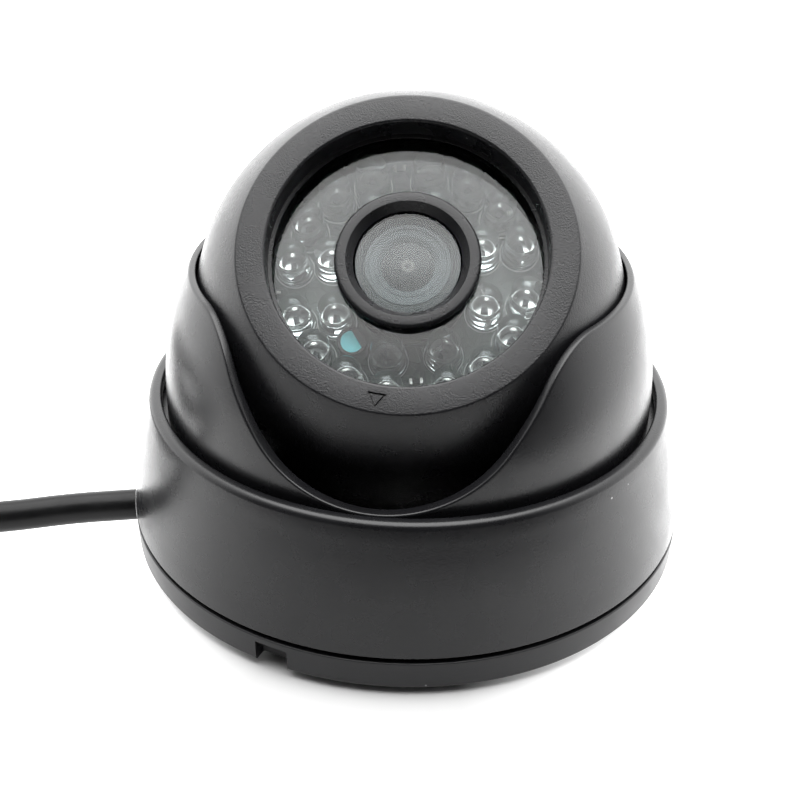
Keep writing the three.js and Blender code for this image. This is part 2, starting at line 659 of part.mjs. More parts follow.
function addCamera() {
  const boardLow = SENSOR_BOARD_TOP - SENSOR_BOARD_T;
  add('lens_holder', lensHolder(), lensBlack, ball);
  add('ir_cut_filter', block(8.2, 8.2, 1.6, 2.1), lensGlass, ball);
  add('image_sensor', block(7.4, 6.6, SENSOR_BOARD_TOP + GAP, SENSOR_BOARD_TOP + 1.3), chipBlack, ball);
  add('sensor_board', block(SENSOR_BOARD, SENSOR_BOARD, boardLow, SENSOR_BOARD_TOP), boardGreen, ball);
  [[1, 1], [-1, -1]].forEach(([x, y], i) => {
    const place = [x * STANDOFF_AT, y * STANDOFF_AT];
    add(`board_standoff_${i + 1}`,
      post(2.2, SENSOR_BOARD_TOP + GAP, BOARD_TOP - BOARD_T - GAP, ...place, 6), nickel, ball);
    const head = lathe([[0, -1.6], [2.4, -1.6], [2.4, 0], [0, 0]], PIN_SIDES);
    head.translate(...place, boardLow - GAP);
    add(`board_screw_${i + 1}`, head, nickel, ball);
  });
  add('led_connector', block(7.5, 4.5, boardLow - 6.3, boardLow - GAP, 9, -13), connectorWhite, ball);
  add('harness_connector', block(10, 5, boardLow - 6.3, boardLow - GAP, -6, 12), connectorWhite, ball);
  add('lens_barrel', lensBarrel(), lensBlack, ball);
  add('lens_front_glass', lensGlassFront(), lensGlass, ball);
  add('lens_lock_ring', lensLockRing(), brass, ball);
}

function addBall() {
  add('ball_rear_shell', ballRearShell(), housingBlack, ball);
  add('rear_grommet', rearGrommet(), rubberBlack, ball);
  add('ball_front_shell', ballFrontShell(), housingBlack, ball);
  add('led_window', ledWindow(), windowGlass, ball);
  add('window_gasket', windowGasket(), rubberBlack, ball);
  add('lens_baffle', lensBaffle(), housingBlack, ball);
  add('led_board', ledBoard(), boardGreen, ball);
  addLeds();
  addPhotocell();
  addCamera();
}

addBase();
add('cover_ring', coverRing(), housingBlack);
add('turret_shell', turretShell(), housingBlack).rotation.z = deg(TURRET_PAN);
addBall();

export default part;
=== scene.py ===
# Looks of the dome CCTV camera.  Lengths are in millimetres and become metres where a mesh is made.
# The ball's pieces are drawn along the optical axis, from the ball's centre, and placed by BALL.
import math
import random

import bmesh
import bpy
from mathutils import Matrix, Vector


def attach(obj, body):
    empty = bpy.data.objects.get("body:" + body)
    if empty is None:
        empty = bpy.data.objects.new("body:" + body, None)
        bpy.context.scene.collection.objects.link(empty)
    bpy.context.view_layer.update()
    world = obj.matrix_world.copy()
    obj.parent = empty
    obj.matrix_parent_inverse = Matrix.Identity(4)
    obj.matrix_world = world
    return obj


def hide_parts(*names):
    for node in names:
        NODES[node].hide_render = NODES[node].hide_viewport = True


MM = 0.001
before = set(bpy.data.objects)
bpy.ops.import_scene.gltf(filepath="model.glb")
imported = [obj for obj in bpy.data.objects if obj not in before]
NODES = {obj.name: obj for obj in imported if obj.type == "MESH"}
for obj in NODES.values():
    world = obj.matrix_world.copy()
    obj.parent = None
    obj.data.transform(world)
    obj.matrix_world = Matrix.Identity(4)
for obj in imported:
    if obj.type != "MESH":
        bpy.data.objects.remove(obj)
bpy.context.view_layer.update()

# ---- dimensions ----------------------------------------------------------------------------------------
BIG, MIDDLE, SMALL = 224, 112, 48  # facets round large, middle-sized and small pieces
ARC_STEPS = 6  # points along a rounded edge

BASE_R, BASE_TOP, BASE_FLOOR = 46.6, 4.7, 2.4
SPIGOT_R, SPIGOT_TOP = 43.7, 9.0
RAIL_R, RAIL_BORE, RAIL_TOP = 39.9, 38.1, 9.3
COLLAR_R, COLLAR_BORE, COLLAR_TOP = 25.6, 22.4, 11.6
CABLE_HOLE = 16
KEYHOLES_AT, KEYHOLE_PITCH_R, KEYHOLE_TURN = (30, 150, 270), 33, 9
KEYHOLE_SLOT_R, KEYHOLE_HEAD_R = 2.1, 3.9
NOTCH_AT, NOTCH_WIDTH, NOTCH_DEPTH, NOTCH_HEIGHT = 247.7, 5.3, 2.4, 3.6
EXIT_AT = 189.4

RING_BOTTOM, RING_TOP = 5.5, 26.2
RING_WALL_LINE = [(46.6, 5.5), (46.1, 9.0), (45.4, 13.0), (44.6, 17.0), (43.7, 21.0), (43.2, 23.2)]
RING_SHOULDER_R, RING_SHOULDER, RING_BORE, RING_WALL = 42.6, 1.4, 40.7, 2.0

TURRET_PAN = -3.9
TURRET_R, TURRET_BOTTOM, TURRET_FROM, TURRET_RIM = 39.9, 9.6, 25.6, 46.9
TURRET_LIP, TURRET_WALL = 1.2, 1.8
FLANGE_R, FLANGE_LOW, FLANGE_HIGH = 41.3, 21.4, 23.2
SLOT_LOW, SLOT_RADIUS, SLOT_SLOPE, SLOT_CORNER = 25.7, 23.5, 49, 15

BALL_Z, BALL_R, BALL_WALL, TILT = 38.5, 34.4, 2.2, 43.4
SEAM = 0.15
FACE, OPENING_R, BEZEL = 23.9, 20.5, 4.3
SLEEVE_R, SLEEVE_WALL, REAR_HOLE_R = 22.4, 1.5, 5
BALL = Matrix.Translation((0, 0, BALL_Z * MM)) @ Matrix.Rotation(math.radians(TILT), 4, "X")

WINDOW_TOP, WINDOW_T, WINDOW_R, WINDOW_BORE = 19.3, 2.0, 22.0, 9.5
BAFFLE_TOP, BAFFLE_R, BAFFLE_LIP_R, BAFFLE_TUBE_R = 20.7, 10.8, 9.1, 9.2
BAFFLE_EDGE, BAFFLE_CONE_R, BAFFLE_CONE, BAFFLE_BORE = 0.8, 8.05, 1.3, 8.4
BOARD_TOP, BOARD_T, BOARD_R, BOARD_BORE = 8.7, 1.6, 21.8, 8.8
LED_R, LED_FLANGE_R, LED_FLANGE, LED_HEIGHT, LED_LIFT = 2.5, 2.85, 1.0, 8.3, 0.3
LED_TURN = 6.9
LED_OUTER_R, LED_SPACING, LED_GROUPS, LED_PER_GROUP = 18.1, 20.5, (45, 135, 225, 315), 4
LED_INNER_R, LED_INNER = 12.35, (20.5, 66, 112, 159, 202, 251, 291, 335.5)
CELL_CIRCLE_R, CELL_AT, CELL_R, CELL_HEIGHT = 13.2, 226, 2.3, 4.2
LENS_TOP, LENS_HEAD_R, LENS_HEAD, LENS_THREAD_R, LENS_LENGTH = 19.0, 7.9, 5.2, 6.0, 15.5
LENS_FACE, GLASS_R, GLASS_T = 1.0, 7.85, 0.6
LENS_MOUTH_R, LENS_ELEMENT_R, LENS_ELEMENT_CROWN = 6.45, 3.95, 0.35

CABLE_D, LEAD_D = 5.3, 3.4
FLOOR_R, FLOOR_CENTRE, FLOOR_TOP, FLOOR_T = 185, (-40, 30), -1.3, 5

# ---- camera and light ----------------------------------------------------------------------------------
CAMERA_AT, CAMERA_LENS, CAMERA_SENSOR = (6.92, -176.58, 124.25), 54.38, 36
CAMERA_RIGHT = (0.998276, 0.056435, 0.016394)
CAMERA_UP = (-0.042565, 0.501994, 0.863823)
CAMERA_BACK = (0.040519, -0.863027, 0.503529)
OVERHEAD, OVERHEAD_LEVEL = (0, 0.1, 0.995), 7.5
BEHIND, BEHIND_LEVEL, FRONT_LEVEL = (0, 1, 0), 3.0, 0.04
# The table's glow is painted light: a self-lit top that fades out towards its dark side.
TABLE_DARK_SIDE, TABLE_PAINTED_GLOW = (-0.1, -0.995, 0), 2.2
COIL_CENTRE, COIL_R, COIL_TURNS = (-114, 13), 29, 2


# ---- mesh helpers --------------------------------------------------------------------------------------
def make_mesh(name, points, faces, place=None, sharp=40):
    """A mesh object from points in millimetres, smooth-shaded but for edges sharper than that angle."""
    mesh = bpy.data.meshes.new(name)
    mesh.from_pydata([Vector(p) * MM for p in points], [], faces)
    shape = bmesh.new()
    shape.from_mesh(mesh)
    bmesh.ops.remove_doubles(shape, verts=shape.verts, dist=1e-7)
    bmesh.ops.recalc_face_normals(shape, faces=shape.faces)
    shape.to_mesh(mesh)
    shape.free()
    if place is not None:
        mesh.transform(place)
    mesh.shade_smooth()
    mesh.set_sharp_from_angle(angle=math.radians(sharp))
    obj = bpy.data.objects.new(name, mesh)
    bpy.context.scene.collection.objects.link(obj)
    return obj


def rounded(corners, steps=ARC_STEPS):
    """A closed outline from corners (x, y) or (x, y, radius), the latter rounded by an arc."""
    outline = []
    for i, corner in enumerate(corners):
        at = Vector(corner[:2])
        if len(corner) < 3:
            outline.append(tuple(at))
            continue
        before = Vector(corners[i - 1][:2]) - at
        after = Vector(corners[(i + 1) % len(corners)][:2]) - at
        u, v = before.normalized(), after.normalized()
        half = u.angle(v) / 2
        reach = min(corner[2] / math.tan(half), 0.49 * before.length, 0.49 * after.length)
        radius = reach * math.tan(half)
        centre = at + (u + v).normalized() * radius / math.sin(half)
        start, end = at + u * reach - centre, at + v * reach - centre
        turn = math.atan2(start.x * end.y - start.y * end.x, start.dot(end))
        for k in range(steps + 1):
            angle = turn * k / steps
            c, s = math.cos(angle), math.sin(angle)
            outline.append((centre.x + start.x * c - start.y * s, centre.y + start.x * s + start.y * c))
    return outline


def arc(radius, low, high, steps, centre=0.0):
    """Points (r, z) of a circle about the axis at height centre, between two heights from its middle."""
    a, b = math.asin(low / radius), math.asin(high / radius)
    angles = [a + (b - a) * k / steps for k in range(steps + 1)]
    return [(radius * math.cos(t), centre + radius * math.sin(t)) for t in angles]


def revolve(sections):
    """Points and faces of closed sections, one per angle, joined all the way round."""
    points = [p for section in sections for p in section]
    size, count = len(sections[0]), len(sections)
    faces = []
    for k in range(count):
        for i in range(size):
            j, n = (i + 1) % size, (k + 1) % count
            faces.append((k * size + i, k * size + j, n * size + j, n * size + i))
    return points, faces


def lathe(name, profile, sides=BIG, place=None, sharp=40):
    """A solid of revolution about Z from a closed outline (r, z); points with r = 0 lie on the axis."""
    sections = []
    for k in range(sides):
        c, s = math.cos(2 * math.pi * k / sides), math.sin(2 * math.pi * k / sides)
        sections.append([(r * c, r * s, z) for r, z in profile])
    points, faces = revolve(sections)
    on_axis = {i for i, (r, z) in enumerate(profile) if r < 1e-6}
    if not on_axis:
        return make_mesh(name, points, faces, place, sharp)
    size = len(profile)
    kept = []
    for face in faces:
        corners = []
        for p in face:
            q = p % size if p % size in on_axis else p
            if q not in corners:
                corners.append(q)
        if len(corners) > 2:
            kept.append(tuple(corners))
    return make_mesh(name, points, kept, place, sharp)


def prism(name, outline, low, high, place=None):
    """An upright prism between two heights over a closed outline (x, y)."""
    n = len(outline)
    points = [(x, y, z) for z in (low, high) for x, y in outline]
    faces = [tuple(range(n)), tuple(range(n, 2 * n))]
    faces += [(i, (i + 1) % n, n + (i + 1) % n, n + i) for i in range(n)]
    return make_mesh(name, points, faces, place)


def rectangle(width, depth, x=0.0, y=0.0, radius=None):
    """Corners of a rectangle about (x, y), rounded if it has a radius."""
    w, d = width / 2, depth / 2
    corners = [(x - w, y - d), (x + w, y - d), (x + w, y + d), (x - w, y + d)]
    return corners if radius is None else rounded([(*c, radius) for c in corners])


def disc(radius, x=0.0, y=0.0, sides=SMALL):
    """Outline of a circle."""
    turns = [2 * math.pi * k / sides for k in range(sides)]
    return [(x + radius * math.cos(t), y + radius * math.sin(t)) for t in turns]


def carve(obj, cutters):
    """Takes the cutters out of obj and removes them."""
    for cutter in cutters:
        cut = obj.modifiers.new("cut", "BOOLEAN")
        cut.object, cut.operation, cut.solver = cutter, "DIFFERENCE", "EXACT"
    bake_modifiers(obj)
    for cutter in cutters:
        bpy.data.objects.remove(cutter)
    return obj


def bake_modifiers(obj):
    """Puts what the modifiers make into the mesh itself."""
    bpy.context.view_layer.update()
    done = obj.evaluated_get(bpy.context.evaluated_depsgraph_get())
    mesh = bpy.data.meshes.new_from_object(done)
    obj.modifiers.clear()
    obj.data = mesh
    mesh.shade_smooth()
    mesh.set_sharp_from_angle(angle=math.radians(30))


def joined(name, parts):
    """One object out of several, each with its own materials."""
    with bpy.context.temp_override(active_object=parts[0], selected_editable_objects=parts, object=parts[0]):
        bpy.ops.object.join()
    parts[0].name = parts[0].data.name = name
    return parts[0]


def polar(radius, degrees):
    return (radius * math.cos(math.radians(degrees)), radius * math.sin(math.radians(degrees)))


def turned(degrees):
    return Matrix.Rotation(math.radians(degrees), 4, "Z")


def moved(x, y, z):
    return Matrix.Translation((x * MM, y * MM, z * MM))


def settle(obj, body, material, slot, *nodes):
    """Gives a piece its material, its body and the CAD nodes that it stands for. The slot argument is not
    used.
    """
    if material is not None:
        obj.data.materials.clear()
        obj.data.materials.append(material)
    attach(obj, body)
    if nodes:
        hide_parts(*nodes)
    return obj


# ---- materials -----------------------------------------------------------------------------------------
class Look:
    """A Principled material with short calls for the nodes that vary it."""

    def __init__(self, name, color, roughness, **sockets):
        self.material = bpy.data.materials.new(name)
        self.material.use_nodes = True
        self.tree = self.material.node_tree
        self.surface = self.tree.nodes["Principled BSDF"]
        self.color = color
        self.surface.inputs["Base Color"].default_value = (*color, 1)
        self.surface.inputs["Roughness"].default_value = roughness
        for socket, value in sockets.items():
            self.surface.inputs[socket.replace("_", " ")].default_value = value
        self.place = self.add("ShaderNodeTexCoord").outputs["Object"]
        self.normal = None

    def add(self, kind, values=None, **settings):
        node = self.tree.nodes.new(kind)
        for key, value in settings.items():
            setattr(node, key, value)
        for socket, value in (values or {}).items():
            if isinstance(value, bpy.types.NodeSocket):
                self.tree.links.new(value, node.inputs[socket])
            else:
                node.inputs[socket].default_value = value
        return node

    def noise(self, size, detail=2.0, roughness=0.5):
        """Cloudy noise, from 0 to 1, with features of about that size in millimetres."""
        values = {"Vector": self.place, "Scale": 1 / (size * MM), "Detail": detail, "Roughness": roughness}
        return self.add("ShaderNodeTexNoise", values).outputs["Fac"]

    def cells(self, size, feature="F1"):
        """Distance to the nearest of scattered points, that far apart in millimetres."""
        values = {"Vector": self.place, "Scale": 1 / (size * MM)}
        return self.add("ShaderNodeTexVoronoi", values, feature=feature).outputs

    def span(self, source, low, high, to_low, to_high):
        values = {"Value": source, 1: low, 2: high, 3: to_low, 4: to_high}
        return self.add("ShaderNodeMapRange", values).outputs[0]

    def tint(self, source, other, low=0.3, high=0.7):
        """Varies the colour from its own to the other one as source goes from low to high."""
        share = self.span(source, low, high, 0, 1)
        mix = self.add("ShaderNodeMix", {0: share}, data_type="RGBA")
        old = self.surface.inputs["Base Color"]
        if old.is_linked:
            self.tree.links.new(old.links[0].from_socket, mix.inputs[6])
        else:
            mix.inputs[6].default_value = (*self.color, 1)
        mix.inputs[7].default_value = (*other, 1)
        self.tree.links.new(mix.outputs[2], old)
        return self

    def polish(self, source, least, most, low=0.3, high=0.7):
        """Varies the roughness between two values as source goes from low to high."""
        self.tree.links.new(self.span(source, low, high, least, most), self.surface.inputs["Roughness"])
        return self

    def bump(self, source, height):
        """Raises the surface by source times a height in millimetres."""
        values = {"Height": source, "Distance": height * MM}
        if self.normal is not None:
            values["Normal"] = self.normal
        self.normal = self.add("ShaderNodeBump", values).outputs["Normal"]
        self.tree.links.new(self.normal, self.surface.inputs["Normal"])
        return self


def specks(look, size, share, color):
    """Scatters dust: pale spots in a small share of cells of that size."""
    found = look.cells(size)
    spot = look.span(found["Distance"], 0.05, 0.09, 1, 0)
    chosen = look.add("ShaderNodeSeparateColor", {0: found["Color"]}).outputs[0]
    here = look.span(chosen, share, share + 0.001, 1, 0)
    both = look.add("ShaderNodeMath", {0: spot, 1: here}, operation="MULTIPLY").outputs[0]
    return look.tint(both, color, 0.2, 0.9)


def housing_look(name, color, roughness, grain, height):
    """Moulded black plastic with a fine spark-eroded grain, uneven gloss and a little dust."""
    look = Look(name, color, roughness, Specular_IOR_Level=0.36)
    look.tint(look.noise(9, 3), tuple(1.3 * c for c in color))
    look.polish(look.noise(5, 4), roughness - 0.03, roughness + 0.04)
    look.bump(look.noise(grain, 3, 0.6), height)
    specks(look, 2.6, 0.05, (0.3, 0.3, 0.3))
    return look.material


def rubber_look(name, color, roughness, grain=0.4):
    look = Look(name, color, roughness, Specular_IOR_Level=0.16)
    look.tint(look.noise(6, 4), tuple(1.5 * c for c in color))
    look.polish(look.noise(2.5, 3), roughness - 0.06, roughness + 0.06)
    look.bump(look.noise(grain, 4, 0.6), 0.02)
    return look.material


def metal_look(name, color, roughness):
    look = Look(name, color, roughness, Metallic=1.0)
    look.tint(look.noise(1.2, 3), tuple(0.8 * c for c in color))
    look.polish(look.noise(0.6, 3), roughness - 0.06, roughness + 0.1)
    look.bump(look.noise(0.15, 2), 0.004)
    return look.material


def board_look():
    """Solder mask over copper tracks that show as slightly raised, paler lines."""
    look = Look("board_mask", (0.035, 0.05, 0.042), 0.35)
    tracks = look.cells(2.4, "DISTANCE_TO_EDGE")["Distance"]
    look.tint(tracks, (0.075, 0.105, 0.085), 0.09, 0.12)
    look.tint(look.noise(4, 3), (0.045, 0.062, 0.05))
    look.polish(look.noise(0.8, 3), 0.28, 0.42)
    look.bump(look.span(tracks, 0.09, 0.12, 0, 1), 0.03)
    return look.material


def epoxy_look():
    """Clear LED epoxy, which lets shadow rays pass to the lead frame inside it."""
    material = bpy.data.materials.new("clear_epoxy")
    material.use_nodes = True
    tree = material.node_tree
    tree.nodes.remove(tree.nodes["Principled BSDF"])
    glass = tree.nodes.new("ShaderNodeBsdfGlass")
    glass.inputs["Color"].default_value = (0.95, 0.97, 0.97, 1)
    glass.inputs["IOR"].default_value = 1.53
    place = tree.nodes.new("ShaderNodeTexCoord").outputs["Object"]
    haze = tree.nodes.new("ShaderNodeTexNoise")
    haze.inputs["Scale"].default_value = 700
    tree.links.new(place, haze.inputs["Vector"])
    rough = tree.nodes.new("ShaderNodeMapRange")
    rough.inputs[3].default_value = 0.0
    rough.inputs[4].default_value = 0.05
    tree.links.new(haze.outputs["Fac"], rough.inputs[0])
    tree.links.new(rough.outputs[0], glass.inputs["Roughness"])
    clear = tree.nodes.new("ShaderNodeBsdfTransparent")
    clear.inputs["Color"].default_value = (0.85, 0.87, 0.87, 1)
    path = tree.nodes.new("ShaderNodeLightPath")
    mix = tree.nodes.new("ShaderNodeMixShader")
    tree.links.new(path.outputs["Is Shadow Ray"], mix.inputs[0])
    tree.links.new(glass.outputs[0], mix.inputs[1])
    tree.links.new(clear.outputs[0], mix.inputs[2])
    tree.links.new(mix.outputs[0], tree.nodes["Material Output"].inputs["Surface"])
    return material


def pane_look():
    """A thin clear pane: it passes light straight through and mirrors a little, more at a slant."""
    material = bpy.data.materials.new("window_pane")
    material.use_nodes = True
    tree = material.node_tree
    tree.nodes.remove(tree.nodes["Principled BSDF"])
    clear = tree.nodes.new("ShaderNodeBsdfTransparent")
    clear.inputs["Color"].default_value = (0.90, 0.92, 0.92, 1)
    mirror = tree.nodes.new("ShaderNodeBsdfGlossy")
    mirror.inputs["Color"].default_value = (1, 1, 1, 1)
    place = tree.nodes.new("ShaderNodeTexCoord").outputs["Object"]
    haze = tree.nodes.new("ShaderNodeTexNoise")
    haze.inputs["Scale"].default_value = 120
    tree.links.new(place, haze.inputs["Vector"])
    rough = tree.nodes.new("ShaderNodeMapRange")
    rough.inputs[3].default_value = 0.02
    rough.inputs[4].default_value = 0.09
    tree.links.new(haze.outputs["Fac"], rough.inputs[0])
    tree.links.new(rough.outputs[0], mirror.inputs["Roughness"])
    slant = tree.nodes.new("ShaderNodeLayerWeight")
    slant.inputs["Blend"].default_value = 0.12
    share = tree.nodes.new("ShaderNodeMapRange")
    share.inputs[3].default_value = 0.016
    share.inputs[4].default_value = 1.0
    tree.links.new(slant.outputs["Fresnel"], share.inputs[0])
    mix = tree.nodes.new("ShaderNodeMixShader")
    tree.links.new(share.outputs[0], mix.inputs[0])
    tree.links.new(clear.outputs[0], mix.inputs[1])
    tree.links.new(mirror.outputs[0], mix.inputs[2])
    tree.links.new(mix.outputs[0], tree.nodes["Material Output"].inputs["Surface"])
    return material


# ---- camera --------------------------------------------------------------------------------------------
def add_camera():
    data = bpy.data.cameras.new("camera")
    data.lens, data.sensor_width = CAMERA_LENS, CAMERA_SENSOR
    data.clip_start, data.clip_end = 0.01, 20
    camera = bpy.data.objects.new("camera", data)
    bpy.context.scene.collection.objects.link(camera)
    turn = Matrix((CAMERA_RIGHT, CAMERA_UP, CAMERA_BACK)).transposed().to_4x4()
    camera.matrix_world = moved(*CAMERA_AT) @ turn
    bpy.context.scene.camera = camera


# ---- cords ---------------------------------------------------------------------------------------------
def smooth_path(points, steps):
    """A centripetal curve through the points, with that many steps between each two of them."""
    knots = [Vector(p) for p in points]
    knots = [2 * knots[0] - knots[1], *knots, 2 * knots[-1] - knots[-2]]
    path = []
    for i in range(1, len(knots) - 2):
        p0, p1, p2, p3 = knots[i - 1:i + 3]
        t0 = 0.0
        t1 = t0 + math.sqrt((p1 - p0).length)
        t2 = t1 + math.sqrt((p2 - p1).length)
        t3 = t2 + math.sqrt((p3 - p2).length)
        for k in range(steps):
            t = t1 + (t2 - t1) * k / steps
            a1 = p0.lerp(p1, (t - t0) / (t1 - t0))
            a2 = p1.lerp(p2, (t - t1) / (t2 - t1))
            a3 = p2.lerp(p3, (t - t2) / (t3 - t2))
            b1 = a1.lerp(a2, (t - t0) / (t2 - t0))
            b2 = a2.lerp(a3, (t - t1) / (t3 - t1))
            path.append(b1.lerp(b2, (t - t1) / (t2 - t1)))
    return [*path, knots[-2]]


def tube(name, path, diameter, sides=28):
    """A round tube along a path, closed by flat ends."""
    side = None
    sections = []
    tangents = []
    for i in range(len(path)):
        tangents.append((path[min(i + 1, len(path) - 1)] - path[max(i - 1, 0)]).normalized())
    for at, along in zip(path, tangents):
        guess = side if side is not None else Vector((0, 0, 1))
        side = (guess - along * guess.dot(along)).normalized()
        other = along.cross(side)
        ring = []
        for k in range(sides):
            angle = 2 * math.pi * k / sides
            ring.append(at + (side * math.cos(angle) + other * math.sin(angle)) * diameter / 2)
        sections.append(ring)
    points = [p for ring in sections for p in ring]
    faces = []
    for k in range(len(sections) - 1):
        for i in range(sides):
            j = (i + 1) % sides
            faces.append((k * sides + i, k * sides + j, (k + 1) * sides + j, (k + 1) * sides + i))
    faces.append(tuple(range(sides)))
    faces.append(tuple(range((len(sections) - 1) * sides, len(sections) * sides)))
    return make_mesh(name, points, faces)


def ease(value, low, high):
    """0 up to low, 1 from high, and smooth in between."""
    t = min(max((value - low) / (high - low), 0.0), 1.0)
    return t * t * (3 - 2 * t)


def coil_point(x, y, height):
    return (COIL_CENTRE[0] + x, COIL_CENTRE[1] + y, height)


def coil_route():
    """Two turns, the second on the first.  It leaves them outwards, over the cable that comes in."""
    half, lift = CABLE_D / 2, 0.95
    route = []
    steps_per_turn = 40
    for k in range(1, COIL_TURNS * steps_per_turn):
        turns = k / steps_per_turn
        angle = math.radians(270 - 360 * turns)
        from_tie = abs((turns % 1) - 0.75)
        over_tie = lift * (1 - ease(from_tie, 0.02, 0.14))
        climb = CABLE_D * ease(turns, 0.80, 0.95)
        radius = COIL_R + 5.6 * ease(turns, 1.76, 1.90) + 0.7 * ease(turns, 1.90, 2.0)
        drop = 2.0 * ease(turns, 1.92, 2.02)
        height = half + 0.05 + over_tie + climb - drop
        route.append(coil_point(radius * math.cos(angle), radius * math.sin(angle), height))
    return route


def cable_route():
    half = CABLE_D / 2
    lead_in = [
        (*polar(BASE_R + 0.3, EXIT_AT), half), (-56.5, -9.8, half), (-68.3, -13.2, half),
        (-82, -15.6, half), (-96, -16.3, half), (-105, -16.1, half + 0.02), (-110, -16.0, half + 0.04),
    ]
    tail = [
        coil_point(-1.6, -35.3, 5.75), coil_point(-8, -35.2, 5.0), coil_point(-14, -34.5, 4.2),
        coil_point(-21, -32.3, 3.4), coil_point(-27, -29, half + 0.25), coil_point(-36, -20, half + 0.05),
        coil_point(-39, -11, half + 0.15), coil_point(-39, -6.3, half + 0.3),
    ]
    return smooth_path(lead_in + coil_route() + tail, 4)


SPLITTER_AT = coil_point(-39, -5.7, 0)
SPLITTER_LENGTH, SPLITTER_WIDTH, SPLITTER_HEIGHT = 20, 9, 6


def lead_start(side, ahead):
    return (SPLITTER_AT[0] + side, SPLITTER_AT[1] + SPLITTER_LENGTH + 0.3 + ahead, LEAD_D / 2 + 0.3)


def video_route():
    half = LEAD_D / 2
    return smooth_path([
        lead_start(-2.1, 0), lead_start(-2.1, 4), coil_point(-40.6, 27, half + 0.1),
        coil_point(-36.5, 38, half + 0.1), coil_point(-28, 46, half + 0.7),
        coil_point(-20, 49.4, half + 2.4), coil_point(-14.5, 50, 5.3), coil_point(-10, 50, 5.4),
    ], 12)


def power_route():
    half = LEAD_D / 2
    return smooth_path([
        lead_start(2.1, 0), lead_start(2.1, 4), coil_point(-35.9, 24, half + 0.1),
        coil_point(-31.6, 31.6, half + 0.1), coil_point(-25, 36.4, half + 0.8),
        coil_point(-18.5, 38.3, half + 2.2), coil_point(-14, 38.6, 4.6), coil_point(-10, 38.6, 4.6),
    ], 12)


def ridged(spans, base, height, pitch, start):
    """Outline points of ribs on a tapering boot: (radius, z) from z = start, one rib per pitch."""
    points = []
    for k in range(spans):
        z = start + k * pitch
        r = base(z)
        points += [(r, z, 0.15), (r + height, z + 0.15 * pitch, 0.2), (r + height, z + 0.6 * pitch, 0.2),
                   (r, z + 0.7 * pitch, 0.15)]
    return points


def along_x(point):
    """Places a lathed piece with its axis along +X from a point."""
    return moved(*point) @ Matrix.Rotation(math.radians(90), 4, "Y")


def splitter(material):
    """The Y moulding: a rounded sleeve that widens to a flat block with two outlets."""
    stations = [(0, 3.15, 3.0, 2.0), (0.5, 3.35, 3.2, 2.0), (4, 3.5, 3.1, 2.2), (8, 4.3, 3.0, 2.6),
                (11, 4.5, 3.0, 3.0), (18.8, 4.5, 3.0, 3.0), (19.7, 4.3, 2.85, 3.0), (20, 4.0, 2.6, 3.0)]
    sides = 40
    points = []
    for y, half_width, half_height, power in stations:
        for k in range(sides):
            t = 2 * math.pi * k / sides
            c, s = math.cos(t), math.sin(t)
            x = half_width * math.copysign(abs(c) ** (2 / power), c)
            z = half_height * math.copysign(abs(s) ** (2 / power), s)
            points.append((SPLITTER_AT[0] + x, SPLITTER_AT[1] + y, SPLITTER_HEIGHT / 2 + z))
    faces = [tuple(range(sides)), tuple(range((len(stations) - 1) * sides, len(stations) * sides))]
    for n in range(len(stations) - 1):
        for k in range(sides):
            j = (k + 1) % sides
            faces.append((n * sides + k, n * sides + j, (n + 1) * sides + j, (n + 1) * sides + k))
    return settle(make_mesh("cable_splitter", points, faces), "base", material, "cable_jacket",
                  "splitter_boot")


def video_connector(start, rubber, metal, plastic):
    """A bayonet socket: a ribbed boot, a body with two lugs, and the insulator with its contact."""
    place = along_x(start)
    boot = lathe("video_boot", rounded([
        (0, 0), (2.3, 0, 0.4), (2.6, 1.2, 0.2), *ridged(4, lambda z: 2.6 + 0.16 * z, 0.45, 1.6, 1.6),
        (4.4, 8.4, 0.3), (4.4, 9.2, 0.2), (0, 9.2),
    ]), SMALL, place)
    boot.data.materials.append(rubber)
    body = lathe("video_body", rounded([
        (0, 8.6), (4.9, 8.6, 0.2), (5.2, 9.0, 0.2), (5.2, 11.9, 0.2), (4.6, 12.2), (4.6, 13.0),
        (4.85, 13.2, 0.1), (4.85, 23.6, 0.3), (4.5, 24), (4.05, 24, 0.1), (4.05, 17.0), (0, 17.0),
    ]), MIDDLE, place)
    grip = [polar(5.35 if k % 4 < 2 else 5.15, k * 2.5) for k in range(144)]
    knurl = prism("knurl", grip, 9.2, 11.7, place)
    knurl.data.materials.append(metal)
    lugs = []
    for k in (0, 180):
        lug = lathe("lug", rounded([(0, 4.4), (0.95, 4.4), (0.95, 5.35, 0.2), (0, 5.35)]), 24,
                    place @ moved(0, 0, 21) @ turned(k) @ Matrix.Rotation(math.radians(90), 4, "Y"))
        lug.data.materials.append(metal)
        lugs.append(lug)
    body.data.materials.append(metal)
    core = lathe("video_core", rounded([
        (0, 16.8), (3.0, 16.8), (3.0, 22.6, 0.2), (1.0, 22.6, 0.2), (1.0, 22.0), (0, 22.0),
    ]), SMALL, place)
    core.data.materials.append(plastic)
    pin = lathe("video_pin", rounded([
        (0, 21.0), (0.7, 21.0), (0.7, 23.0, 0.1), (0.4, 23.2), (0.4, 21.5), (0, 21.5),
    ]), 24, place)
    pin.data.materials.append(metal)
    whole = joined("video_socket", [body, knurl, *lugs, boot, core, pin])
    return settle(whole, "base", None, "nickel", "video_connector")


